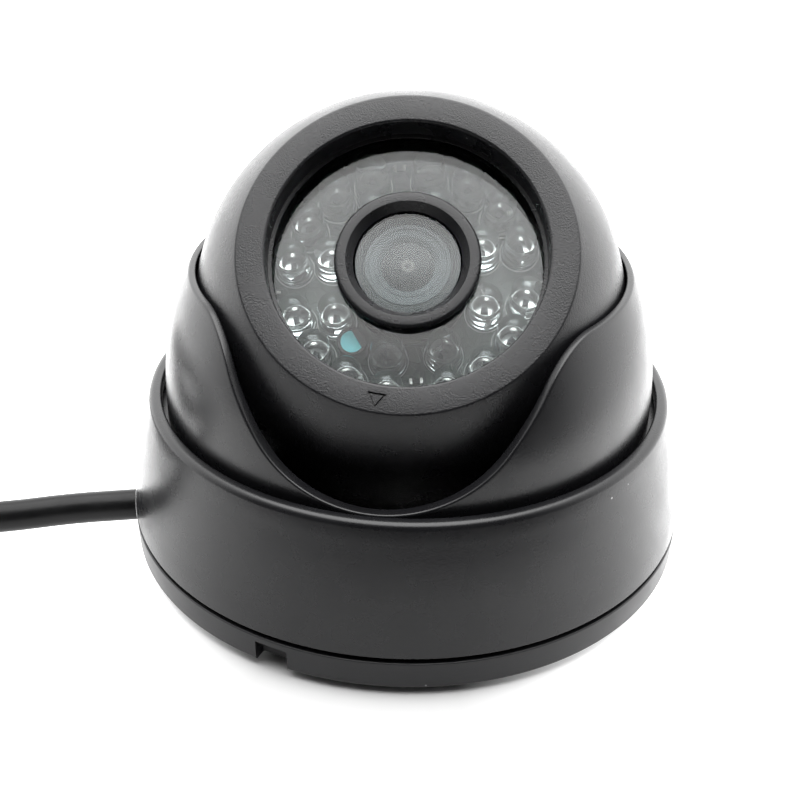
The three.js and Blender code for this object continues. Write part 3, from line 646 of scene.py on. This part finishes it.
def power_connector(start, rubber, metal, plastic):
    """A barrel socket: a ribbed boot that widens to a smooth sleeve round the contact."""
    place = along_x(start)
    sleeve = lathe("power_sleeve", rounded([
        (0, 0), (2.2, 0, 0.4), (2.4, 1.0, 0.2), *ridged(4, lambda z: 2.4 + 0.13 * z, 0.4, 1.5, 1.4),
        (3.5, 7.8, 0.3), (4.4, 9.2, 0.6), (4.4, 23.6, 0.4), (3.0, 24, 0.3), (2.85, 13), (0, 13),
    ]), SMALL, place)
    sleeve.data.materials.append(rubber)
    liner = lathe("power_liner", rounded([
        (2.8, 13.2), (2.8, 23.2, 0.1), (2.6, 23.2, 0.1), (2.6, 13.2)
    ]), SMALL, place)
    liner.data.materials.append(metal)
    pin = lathe("power_pin", rounded([(0, 12.8), (1.0, 12.8), (1.0, 22.2, 0.4), (0, 22.6)]), 24, place)
    pin.data.materials.append(metal)
    whole = joined("power_socket", [sleeve, liner, pin])
    return settle(whole, "base", None, "black_plastic", "power_connector")


def coil_strap(material):
    """A releasable strap round both turns, with its buckle on the outer side."""
    x = COIL_CENTRE[0] + COIL_R
    half, high, thick, width = CABLE_D / 2 + 0.45, 11.9, 0.6, 3.6
    outer = rounded([(-half - thick, 0.1, 1.6), (half + thick, 0.1, 1.6), (half + thick, high + thick, 1.6),
                     (-half - thick, high + thick, 1.6)])
    inner = rounded([(-half, 0.7, 1.1), (half, 0.7, 1.1), (half, high, 1.1), (-half, high, 1.1)])
    n = len(outer)
    points = [(x + px, COIL_CENTRE[1] + y, pz) for y in (-width / 2, width / 2)
              for ring in (outer, inner) for px, pz in ring]
    faces = []
    for i in range(n):
        j = (i + 1) % n
        faces += [(i, j, n + j, n + i), (2 * n + i, 2 * n + j, 3 * n + j, 3 * n + i),
                  (i, j, 2 * n + j, 2 * n + i), (n + i, n + j, 3 * n + j, 3 * n + i)]
    band = make_mesh("strap_band", points, faces)
    band.data.materials.append(material)
    outside = x + half + thick + 0.3
    buckle = prism("strap_buckle", rectangle(2.2, 5.2, outside, COIL_CENTRE[1], 0.5), 5.2, 9.4)
    buckle.data.materials.append(material)
    return settle(joined("coil_strap", [band, buckle]), "base", None, "black_plastic", "coil_tie")


def add_cords(jacket, rubber, metal, plastic, insulator):
    route = cable_route()
    cable = settle(tube("camera_cable", route, CABLE_D), "base", jacket, "cable_jacket",
                   "cable", "cable_coil", "cable_tail")
    boot = splitter(rubber)
    strap = coil_strap(plastic)
    route = video_route()
    lead = settle(tube("video_cable", route, LEAD_D), "base", jacket, "cable_jacket", "video_lead")
    end = video_connector(route[-1] + Vector((0.1, 0, 0)), rubber, metal, insulator)
    route = power_route()
    lead = settle(tube("power_cable", route, LEAD_D), "base", jacket, "cable_jacket", "power_lead")
    end = power_connector(route[-1] + Vector((0.1, 0, 0)), rubber, metal, insulator)


# ---- shells --------------------------------------------------------------------------------------------
def base_plate(material):
    plate = lathe("base_shell", rounded([
        (0, 0), (BASE_R - 0.1, 0, 0.5), (BASE_R, BASE_TOP, 0.25), (SPIGOT_R, BASE_TOP, 0.2),
        (SPIGOT_R, SPIGOT_TOP, 0.4), (SPIGOT_R - 1.6, SPIGOT_TOP, 0.4), (SPIGOT_R - 2.2, BASE_FLOOR, 0.4),
        (RAIL_R, BASE_FLOOR, 0.4), (RAIL_R, RAIL_TOP, 0.3), (RAIL_BORE, RAIL_TOP, 0.3),
        (RAIL_BORE, BASE_FLOOR, 0.4), (COLLAR_R + 0.4, BASE_FLOOR, 0.5), (COLLAR_R, COLLAR_TOP, 0.3),
        (COLLAR_BORE, COLLAR_TOP, 0.3), (COLLAR_BORE - 0.4, BASE_FLOOR, 0.5), (0, BASE_FLOOR),
    ]), BIG)
    exit_turn = turned(EXIT_AT)
    width = CABLE_D + 1.2
    cutters = [
        prism("cut", rectangle(CABLE_HOLE, CABLE_HOLE, 0, 0, 0.6), -1, BASE_FLOOR + 1),
        prism("cut", rectangle(16, width, BASE_R - 2), -1, BASE_TOP + 0.6, exit_turn),
        prism("cut", rectangle(9, width, SPIGOT_R - 1.5), BASE_TOP, SPIGOT_TOP + 1, exit_turn),
        prism("cut", rectangle(2 * NOTCH_DEPTH, NOTCH_WIDTH, BASE_R, 0, 0.3), -1, NOTCH_HEIGHT,
              turned(NOTCH_AT)),
    ]
    for at in KEYHOLES_AT:
        cutters.append(prism("cut", disc(KEYHOLE_HEAD_R, KEYHOLE_PITCH_R), -1, BASE_FLOOR + 1, turned(at)))
        outer, inner = KEYHOLE_PITCH_R + KEYHOLE_SLOT_R, KEYHOLE_PITCH_R - KEYHOLE_SLOT_R
        end = [polar(KEYHOLE_PITCH_R, KEYHOLE_TURN)]
        slot = [polar(outer, a) for a in range(0, KEYHOLE_TURN + 1, 3)]
        for k in range(1, 12):
            x, y = polar(KEYHOLE_SLOT_R, KEYHOLE_TURN + 180 * k / 12)
            slot.append((end[0][0] + x, end[0][1] + y))
        slot += [polar(inner, a) for a in range(KEYHOLE_TURN, -1, -3)]
        cutters.append(prism("cut", slot, -1, BASE_FLOOR + 1, turned(at)))
    return settle(carve(plate, cutters), "base", material, "base_plastic", "base_plate")


def cover_ring(material):
    inner_corner = (RING_SHOULDER_R - RING_WALL + 0.75, RING_TOP - RING_WALL - 0.4)
    shell = lathe("cover_shell", rounded([
        (RING_WALL_LINE[0][0] - RING_WALL, RING_BOTTOM, 0.2), (*RING_WALL_LINE[0], 0.3),
        *RING_WALL_LINE[1:], (RING_SHOULDER_R, RING_TOP, RING_SHOULDER), (RING_BORE, RING_TOP, 0.35),
        (RING_BORE, RING_TOP - RING_WALL, 0.2), inner_corner,
    ]), BIG, sharp=50)
    return settle(shell, "cover", material, "housing_plastic", "cover_ring")


def turret_radius(height):
    """Outer radius of the turret's wall: straight low down, then leaning in to the rim."""
    rise = max(0.0, (height - TURRET_FROM) / 20)
    return TURRET_R - 3.75 * rise ** 2 - 0.6 * rise ** 4


def turret_wall(height):
    share = min(max((TURRET_RIM - height) / 15, 0.0), 1.0)
    return TURRET_LIP + (TURRET_WALL - TURRET_LIP) * share


def rim_height(degrees):
    """Height of the wall's edge at an angle from the slot's middle: an arc, a slope and a corner arc."""
    along = math.radians(abs(degrees)) * (TURRET_R - 2.4)
    slope = math.radians(SLOT_SLOPE)
    arc_end = SLOT_RADIUS * math.sin(slope)
    arc_top = SLOT_LOW + SLOT_RADIUS * (1 - math.cos(slope))
    corner = arc_end + (TURRET_RIM - arc_top) / math.tan(slope)
    tangent = SLOT_CORNER * math.tan(slope / 2)
    if along < arc_end:
        return SLOT_LOW + SLOT_RADIUS - math.sqrt(SLOT_RADIUS ** 2 - along ** 2)
    if along < corner - tangent * math.cos(slope):
        return arc_top + (along - arc_end) * math.tan(slope)
    if along < corner + tangent:
        from_centre = corner + tangent - along
        return TURRET_RIM - SLOT_CORNER + math.sqrt(SLOT_CORNER ** 2 - from_centre ** 2)
    return TURRET_RIM


def turret_section(degrees):
    """The wall cut through at an angle, with the same number of points at every angle."""
    top = rim_height(degrees)
    steps = 18
    low, high = FLANGE_HIGH + 0.6, top - 0.7
    outer = [low + (high - low) * k / steps for k in range(steps + 1)]
    inner = [high + (FLANGE_LOW - high) * k / steps for k in range(steps + 1)]
    edge, lip = turret_radius(top), turret_wall(top)
    return rounded([
        (TURRET_R - TURRET_WALL, TURRET_BOTTOM), (TURRET_R, TURRET_BOTTOM), (TURRET_R, FLANGE_LOW),
        (FLANGE_R, FLANGE_LOW), (FLANGE_R, FLANGE_HIGH), (TURRET_R, FLANGE_HIGH),
        *[(turret_radius(z), z) for z in outer], (edge, top, 0.5), (edge - lip, top, 0.4),
        *[(turret_radius(z) - turret_wall(z), z) for z in inner],
    ], 5)


def turret(material):
    sections = []
    fine, coarse = 1.0, 2.0
    angle = -70.0
    while angle < 290:
        section = turret_section(angle if angle <= 180 else angle - 360)
        c, s = polar(1, angle - 90)
        sections.append([(r * c, r * s, z) for r, z in section])
        angle += fine if angle < 70 else coarse
    shell = make_mesh("turret_body", *revolve(sections), turned(TURRET_PAN), 50)
    return settle(shell, "turret", material, "housing_plastic", "turret_shell")


def ball_front(material):
    inner = BALL_R - BALL_WALL
    sleeve_out = SLEEVE_R + SLEEVE_WALL
    sleeve_meets = math.sqrt(inner ** 2 - sleeve_out ** 2)
    face_r = math.sqrt(BALL_R ** 2 - FACE ** 2)
    floor = BOARD_TOP - BOARD_T - 1
    shell = lathe("ball_front", rounded([
        *arc(BALL_R, SEAM, FACE - 0.55, 40), (face_r, FACE, 0.5), (OPENING_R, FACE, 0.45),
        (OPENING_R, FACE - BEZEL + 0.45), (OPENING_R - 0.55, FACE - BEZEL + 0.3, 0.1),
        (OPENING_R - 0.55, FACE - BEZEL), (SLEEVE_R, FACE - BEZEL), (SLEEVE_R, floor), (sleeve_out, floor),
        *arc(inner, sleeve_meets, SEAM, 12),
    ]), BIG, BALL, 50)
    mark = polar(22.65, 262)
    stroke, reach = 0.14, 1.3
    corners = [polar(reach, a) for a in (270, 30, 150)]
    outline = [(x * (1 + 2 * stroke / reach), y * (1 + 2 * stroke / reach)) for x, y in corners]
    core = [(x * (1 - 2 * stroke / reach), y * (1 - 2 * stroke / reach)) for x, y in corners]
    points = [(x, y, z) for z in (FACE - 0.35, FACE + 1) for ring in (outline, core) for x, y in ring]
    faces = []
    for i in range(3):
        j = (i + 1) % 3
        faces += [(i, j, 3 + j, 3 + i), (6 + i, 6 + j, 9 + j, 9 + i), (i, j, 6 + j, 6 + i),
                  (3 + i, 3 + j, 9 + j, 9 + i)]
    groove = make_mesh("cut", points, faces, BALL @ moved(*mark, 0) @ turned(262 - 270))
    return settle(carve(shell, [groove]), "ball_front", material, "housing_plastic", "ball_front_shell")


def ball_rear(material):
    inner = BALL_R - BALL_WALL
    low, low_inner = (-math.sqrt(r ** 2 - REAR_HOLE_R ** 2) for r in (BALL_R, inner))
    shell = lathe("ball_rear", [*arc(BALL_R, low, -SEAM, 56), *arc(inner, -SEAM, low_inner, 40)],
                  BIG, BALL, 50)
    return settle(shell, "ball_rear", material, "housing_plastic", "ball_rear_shell")


# ---- front of the ball ---------------------------------------------------------------------------------
def baffle(material):
    top, floor = BAFFLE_TOP, BOARD_TOP + 0.3
    lip_low = FACE - BEZEL
    shell = lathe("lens_shade", rounded([
        (BAFFLE_R, top, BAFFLE_EDGE), (BAFFLE_R, lip_low, 0.1),
        (BAFFLE_TUBE_R, lip_low), (BAFFLE_TUBE_R, floor),
        (BAFFLE_BORE, floor), (BAFFLE_BORE, top - 2.2), (BAFFLE_CONE_R, top - 1.8, 0.1),
        (BAFFLE_CONE_R, top - BAFFLE_CONE, 0.12), (BAFFLE_LIP_R, top, 0.12),
    ]), MIDDLE, BALL, 50)
    return settle(shell, "ball_front", material, "housing_plastic", "lens_baffle")


def window(material):
    low = WINDOW_TOP - WINDOW_T
    pane = lathe("front_window", rounded([
        (WINDOW_BORE, low, 0.1), (WINDOW_R, low, 0.1), (WINDOW_R, WINDOW_TOP, 0.1),
        (WINDOW_BORE, WINDOW_TOP, 0.1),
    ]), BIG, BALL)
    return settle(pane, "ball_front", material, "window_clear", "led_window")


def led_places():
    """Circle radius and angle of every LED, outer circle first, as the CAD numbers them."""
    places = []
    for middle in LED_GROUPS:
        for i in range(LED_PER_GROUP):
            places.append((LED_OUTER_R, middle + LED_SPACING * (i - (LED_PER_GROUP - 1) / 2)))
    return places + [(LED_INNER_R, angle) for angle in LED_INNER]


def box_faces(x0, x1, y0, y1, z0, z1):
    points = [(x, y, z) for z in (z0, z1) for y in (y0, y1) for x in (x0, x1)]
    faces = [(0, 1, 3, 2), (4, 5, 7, 6), (0, 1, 5, 4), (2, 3, 7, 6), (0, 2, 6, 4), (1, 3, 7, 5)]
    return points, faces


def lead_frame(place, metal, die):
    """What shows inside an LED: the cup that holds the die, its anvil, the other post and the leads."""
    parts = [
        lathe("cup", rounded([
            (0, 3.0), (0.62, 3.0), (0.9, 4.35, 0.05), (0.74, 4.35, 0.05), (0.5, 3.95), (0, 3.95),
        ]), 24, place),
    ]
    blocks = [
        (-1.65, 0.3, -0.25, 0.25, 2.0, 3.1), (-1.5, -1.02, -0.24, 0.24, -0.7, 2.1),
        (0.95, 1.65, -0.25, 0.25, 2.0, 3.9), (1.02, 1.5, -0.24, 0.24, -0.7, 2.1),
    ]
    for span in blocks:
        parts.append(make_mesh("post", *box_faces(*span), place))
    for part in parts:
        part.data.materials.append(metal)
    chip = make_mesh("die", *box_faces(-0.17, 0.17, -0.17, 0.17, 3.9, 4.1), place)
    chip.data.materials.append(die)
    return [*parts, chip]


def add_leds(epoxy, metal, die):
    """Every LED's clear body, turned at random, and one piece for what shows inside all of them."""
    profile = rounded([
        (0, 0), (LED_FLANGE_R, 0, 0.15), (LED_FLANGE_R, LED_FLANGE, 0.2), (LED_R, LED_FLANGE, 0.12),
        *arc(LED_R, 0, LED_R * 0.999999, 12, LED_HEIGHT - LED_R),
    ], 3)
    profile[-1] = (0.0, LED_HEIGHT)
    frames = []
    turns = random.Random(7)
    for i, (radius, angle) in enumerate(led_places()):
        x, y = polar(radius, angle + LED_TURN)
        place = BALL @ moved(x, y, BOARD_TOP + LED_LIFT) @ turned(turns.uniform(0, 360))
        name = f"ir_led_{i + 1:02d}"
        bulb = lathe(name, profile, SMALL, place, 50)
        settle(bulb, "ball_front", epoxy, "led_epoxy", f"led_{i + 1:02d}")
        frames += lead_frame(place, metal, die)
    settle(joined("led_frames", frames), "ball_front", None, "nickel")


def photocell(housing, teal, dark):
    """A dark round can with a pale teal sensing face, one segment of which is painted in darker teal as
    painted shadow.
    """
    x, y = polar(CELL_CIRCLE_R, CELL_AT + LED_TURN)
    place = BALL @ moved(x, y, BOARD_TOP + LED_LIFT)
    can = lathe("cell_can", rounded([
        (0, 0), (CELL_R, 0, 0.1), (CELL_R, CELL_HEIGHT, 0.15), (CELL_R - 0.35, CELL_HEIGHT, 0.1),
        (CELL_R - 0.4, CELL_HEIGHT - 0.35), (0, CELL_HEIGHT - 0.35),
    ]), SMALL, place)
    can.data.materials.append(housing)
    low = CELL_HEIGHT - 0.35
    face = [polar(1.72, a) for a in range(95, 331, 5)]
    sensor = prism("cell_face", face, low, low + 0.12, place)
    sensor.data.materials.append(teal)
    # Painted shadow: the last segment of the face is the same teal made dark, as if shaded.
    rest = [polar(1.72, a) for a in range(-25, 91, 5)]
    shade = prism("cell_shadow_segment", rest, low, low + 0.1, place)
    shade.data.materials.append(dark)
    return settle(joined("light_sensor", [can, sensor, shade]), "ball_front", None, "cell_window",
                  "photocell")


def led_board(mask, tin, chip, ink):
    board = lathe("led_carrier", rounded([
        (BOARD_BORE, BOARD_TOP - BOARD_T, 0.1), (BOARD_R, BOARD_TOP - BOARD_T, 0.1),
        (BOARD_R, BOARD_TOP, 0.1), (BOARD_BORE, BOARD_TOP, 0.1),
    ]), MIDDLE, BALL)
    board.data.materials.append(mask)
    parts = [board]
    for radius, angle in led_places():
        x, y = polar(radius, angle + LED_TURN)
        ring = lathe("outline", [(2.98, 0), (3.1, 0), (3.1, 0.03), (2.98, 0.03)], SMALL,
                     BALL @ moved(x, y, BOARD_TOP))
        ring.data.materials.append(ink)
        parts.append(ring)
    for radius, angle in ((20.4, 0), (20.4, 90), (20.4, 180), (15.2, 270)):
        x, y = polar(radius, angle + LED_TURN)
        place = BALL @ moved(x, y, BOARD_TOP) @ turned(angle + LED_TURN + 90)
        body = prism("resistor", rectangle(1.2, 0.85, 0, 0, 0.05), 0.02, 0.45, place)
        body.data.materials.append(chip)
        parts.append(body)
        for side in (-0.8, 0.8):
            end = prism("end", rectangle(0.45, 0.87, side, 0, 0.06), 0.0, 0.47, place)
            end.data.materials.append(tin)
            parts.append(end)
    return settle(joined("led_carrier", parts), "ball_front", None, "board", "led_board")


def lens(barrel_look, ring_look, glass_look, pale, dark, painted_glint):
    """Barrel, the stepped rings and front element in its mouth, and the flat cover glass over them."""
    bottom, shoulder, face = LENS_TOP - LENS_LENGTH, LENS_TOP - LENS_HEAD, LENS_TOP - LENS_FACE
    pitch = 0.5
    thread = []
    z = bottom + 0.4
    while z < shoulder - 0.9:
        thread += [(LENS_THREAD_R - 0.25, z), (LENS_THREAD_R, z + pitch / 2)]
        z += pitch
    barrel = lathe("lens_tube", rounded([
        (0, bottom), (LENS_THREAD_R - 0.25, bottom), *thread, (LENS_THREAD_R - 0.25, shoulder),
        (LENS_HEAD_R, shoulder, 0.15), (LENS_HEAD_R, face, 0.15), (LENS_MOUTH_R, face),
        (LENS_MOUTH_R, face - 1.5),
        (0, face - 1.5),
    ]), MIDDLE, BALL, 35)
    settle(barrel, "lens", barrel_look, "black_plastic", "lens_barrel")
    rim = lathe("lens_rim", rounded([
        (LENS_MOUTH_R, face), (LENS_HEAD_R - 0.15, face),
        (LENS_HEAD_R - 0.15, face + 0.04), (6.5, face + 0.04),
    ]), MIDDLE, BALL)
    settle(rim, "lens", ring_look, "black_plastic")
    # The retainer's stepped, chamfered rings reflect the light, and their paler grey adds painted reflection
    # to it.
    retainer = lathe("lens_retainer", rounded([
        (LENS_ELEMENT_R, face - 1.2), (6.4, face - 1.2), (6.4, face + 0.12, 0.08), (5.85, face + 0.06, 0.1),
        (5.7, face - 0.12, 0.05), (5.05, face - 0.22, 0.06), (4.95, face - 0.12, 0.08),
        (4.6, face - 0.2, 0.08), (LENS_ELEMENT_R, face - 0.62, 0.08),
    ]), MIDDLE, BALL)
    settle(retainer, "lens", pale, "black_plastic")
    edge, crown, radius = face - 0.75, LENS_ELEMENT_CROWN, LENS_ELEMENT_R
    sphere = (radius ** 2 + crown ** 2) / (2 * crown)
    dome = arc(sphere, sphere - crown, sphere * 0.9999999, 20, edge + crown - sphere)
    element = lathe("lens_element", [(0, edge - 0.1), (radius, edge - 0.1), *dome[:-1], (0, edge + crown)],
                    MIDDLE, BALL, 50)
    settle(element, "lens", dark, "lens_glass")
    # Painted highlight: a pale ring on the element's crown stands for the small glint of light in the lens's
    # centre.
    painted_glint_ring = lathe("lens_painted_glint_ring", rounded([
        (0.45, edge + crown), (1.0, edge + crown), (0.95, edge + crown + 0.05, 0.02),
        (0.5, edge + crown + 0.05, 0.02),
    ]), SMALL, BALL)
    settle(painted_glint_ring, "lens", painted_glint, "lens_glass")
    cover = lathe("lens_front", rounded([
        (0, LENS_TOP - GLASS_T), (GLASS_R, LENS_TOP - GLASS_T, 0.08), (GLASS_R, LENS_TOP, 0.08),
        (0, LENS_TOP),
    ]), MIDDLE, BALL, 50)
    settle(cover, "lens", glass_look, "lens_glass", "lens_front_glass")


# ---- stage ---------------------------------------------------------------------------------------------
def add_floor():
    """A white table whose top shines with painted light, with no lamp under it, everywhere but in a sector
    in front of the camera's housing, where only the real shade shows.
    """
    outline = disc(FLOOR_R, *FLOOR_CENTRE, 96)
    floor = prism("floor", outline, FLOOR_TOP - FLOOR_T, FLOOR_TOP)
    look = Look("floor_paint", (0.52, 0.52, 0.52), 0.9, Specular_IOR_Level=0.1)
    look.tint(look.noise(300, 2), (0.53, 0.53, 0.53))
    outwards = look.add("ShaderNodeVectorMath", {0: look.place}, operation="NORMALIZE").outputs[0]
    aim = {0: outwards, 1: Vector(TABLE_DARK_SIDE)}
    ahead = look.add("ShaderNodeVectorMath", aim, operation="DOT_PRODUCT").outputs["Value"]
    # Painted light: the top shines everywhere but in the sector towards the dark side.
    glow = look.span(ahead, 0.95, 0.0, 0.0, TABLE_PAINTED_GLOW)
    look.surface.inputs["Emission Color"].default_value = (1, 1, 1, 1)
    look.tree.links.new(glow, look.surface.inputs["Emission Strength"])
    floor.data.materials.append(look.material)


def add_light():
    """A tent of light: brightest overhead, white behind and at the sides, dark towards the front."""
    world = bpy.data.worlds.new("tent")
    bpy.context.scene.world = world
    world.use_nodes = True
    tree = world.node_tree
    place = tree.nodes.new("ShaderNodeTexCoord").outputs["Generated"]

    def towards(direction, low, high, to_low, to_high):
        """Eases between two strengths by how nearly a ray runs along the direction."""
        dot = tree.nodes.new("ShaderNodeVectorMath")
        dot.operation = "DOT_PRODUCT"
        tree.links.new(place, dot.inputs[0])
        dot.inputs[1].default_value = Vector(direction).normalized()
        node = tree.nodes.new("ShaderNodeMapRange")
        node.interpolation_type = "SMOOTHSTEP"
        tree.links.new(dot.outputs["Value"], node.inputs[0])
        node.inputs[1].default_value, node.inputs[2].default_value = low, high
        node.inputs[3].default_value, node.inputs[4].default_value = to_low, to_high
        return node.outputs[0]

    around = towards(BEHIND, -0.55, 0.3, FRONT_LEVEL, BEHIND_LEVEL)
    above = towards(OVERHEAD, 0.80, 0.92, 0.0, 1.0)
    mix = tree.nodes.new("ShaderNodeMix")
    tree.links.new(above, mix.inputs[0])
    tree.links.new(around, mix.inputs[2])
    mix.inputs[3].default_value = OVERHEAD_LEVEL
    tree.links.new(mix.outputs[0], tree.nodes["Background"].inputs["Strength"])
    tree.nodes["Background"].inputs["Color"].default_value = (1, 1, 1, 1)


def dress_hidden_nodes(looks):
    """Materials for the CAD nodes that stay, nearly all of them inside the housing."""
    for names, look in looks:
        for name in names:
            slots = NODES[name].data.materials
            slots.clear()
            slots.append(look)


def main():
    scene = bpy.context.scene
    scene.view_settings.view_transform = "Standard"
    housing = housing_look("housing_satin", (0.006, 0.006, 0.0068), 0.27, 0.35, 0.012)
    face = housing_look("housing_grained", (0.008, 0.008, 0.009), 0.28, 0.24, 0.06)
    base = housing_look("base_satin", (0.008, 0.008, 0.009), 0.34, 0.4, 0.012)
    jacket = rubber_look("cable_jacket_rubber", (0.004, 0.004, 0.0042), 0.33)
    rubber = rubber_look("boot_rubber", (0.014, 0.014, 0.014), 0.6)
    plastic = housing_look("small_plastic", (0.02, 0.02, 0.021), 0.4, 0.3, 0.01)
    nickel = metal_look("nickel_plate", (0.66, 0.65, 0.62), 0.25)
    brass = metal_look("brass_turned", (0.62, 0.45, 0.2), 0.3)
    silver = metal_look("silver_plate", (0.85, 0.84, 0.82), 0.18)
    insulator = rubber_look("white_insulator", (0.72, 0.71, 0.68), 0.4)
    connector = rubber_look("cream_connector", (0.62, 0.6, 0.52), 0.5)
    mask = board_look()
    ink = rubber_look("board_ink", (0.42, 0.44, 0.42), 0.7)
    chip = rubber_look("chip_black", (0.02, 0.02, 0.022), 0.45)
    die = rubber_look("die_grey", (0.05, 0.05, 0.055), 0.3)
    teal = rubber_look("cell_teal", (0.25, 0.85, 0.92), 0.3)
    # The sensing face's teal, darkened as painted shadow.
    teal_painted_shadow = rubber_look("cell_teal_painted_shadow", (0.03, 0.055, 0.056), 0.3)
    lens_black = rubber_look("lens_black", (0.014, 0.014, 0.015), 0.4)
    lens_ring = rubber_look("lens_ring_grey", (0.014, 0.018, 0.019), 0.45)
    # Paler grey, partly painted reflection for the retainer's chamfers.
    lens_pale = rubber_look("lens_ring_pale", (0.075, 0.086, 0.09), 0.4)
    lens_dark = rubber_look("lens_element", (0.018, 0.02, 0.021), 0.12)
    # Pale grey for the painted highlight in the lens's centre.
    lens_painted_glint = rubber_look("lens_painted_glint", (0.12, 0.12, 0.11), 0.3)
    pane = pane_look()
    epoxy = epoxy_look()

    add_camera()
    add_cords(jacket, rubber, nickel, plastic, insulator)
    base_plate(base)
    cover_ring(housing)
    turret(housing)
    ball_rear(housing)
    ball_front(face)
    baffle(face)
    window(pane)
    led_board(mask, nickel, chip, ink)
    add_leds(epoxy, silver, die)
    photocell(plastic, teal, teal_painted_shadow)
    lens(lens_black, lens_ring, pane, lens_pale, lens_dark, lens_painted_glint)
    dress_hidden_nodes([
        (("friction_ring", "cable_grommet", "rear_grommet", "window_gasket"), rubber),
        (("lens_holder",), lens_black), (("ir_cut_filter",), pane), (("image_sensor",), chip),
        (("sensor_board",), mask), (("led_connector", "harness_connector"), connector),
        (("board_standoff_1", "board_standoff_2", "board_screw_1", "board_screw_2"), nickel),
        (("lens_lock_ring",), brass),
    ])
    add_floor()
    add_light()


main()
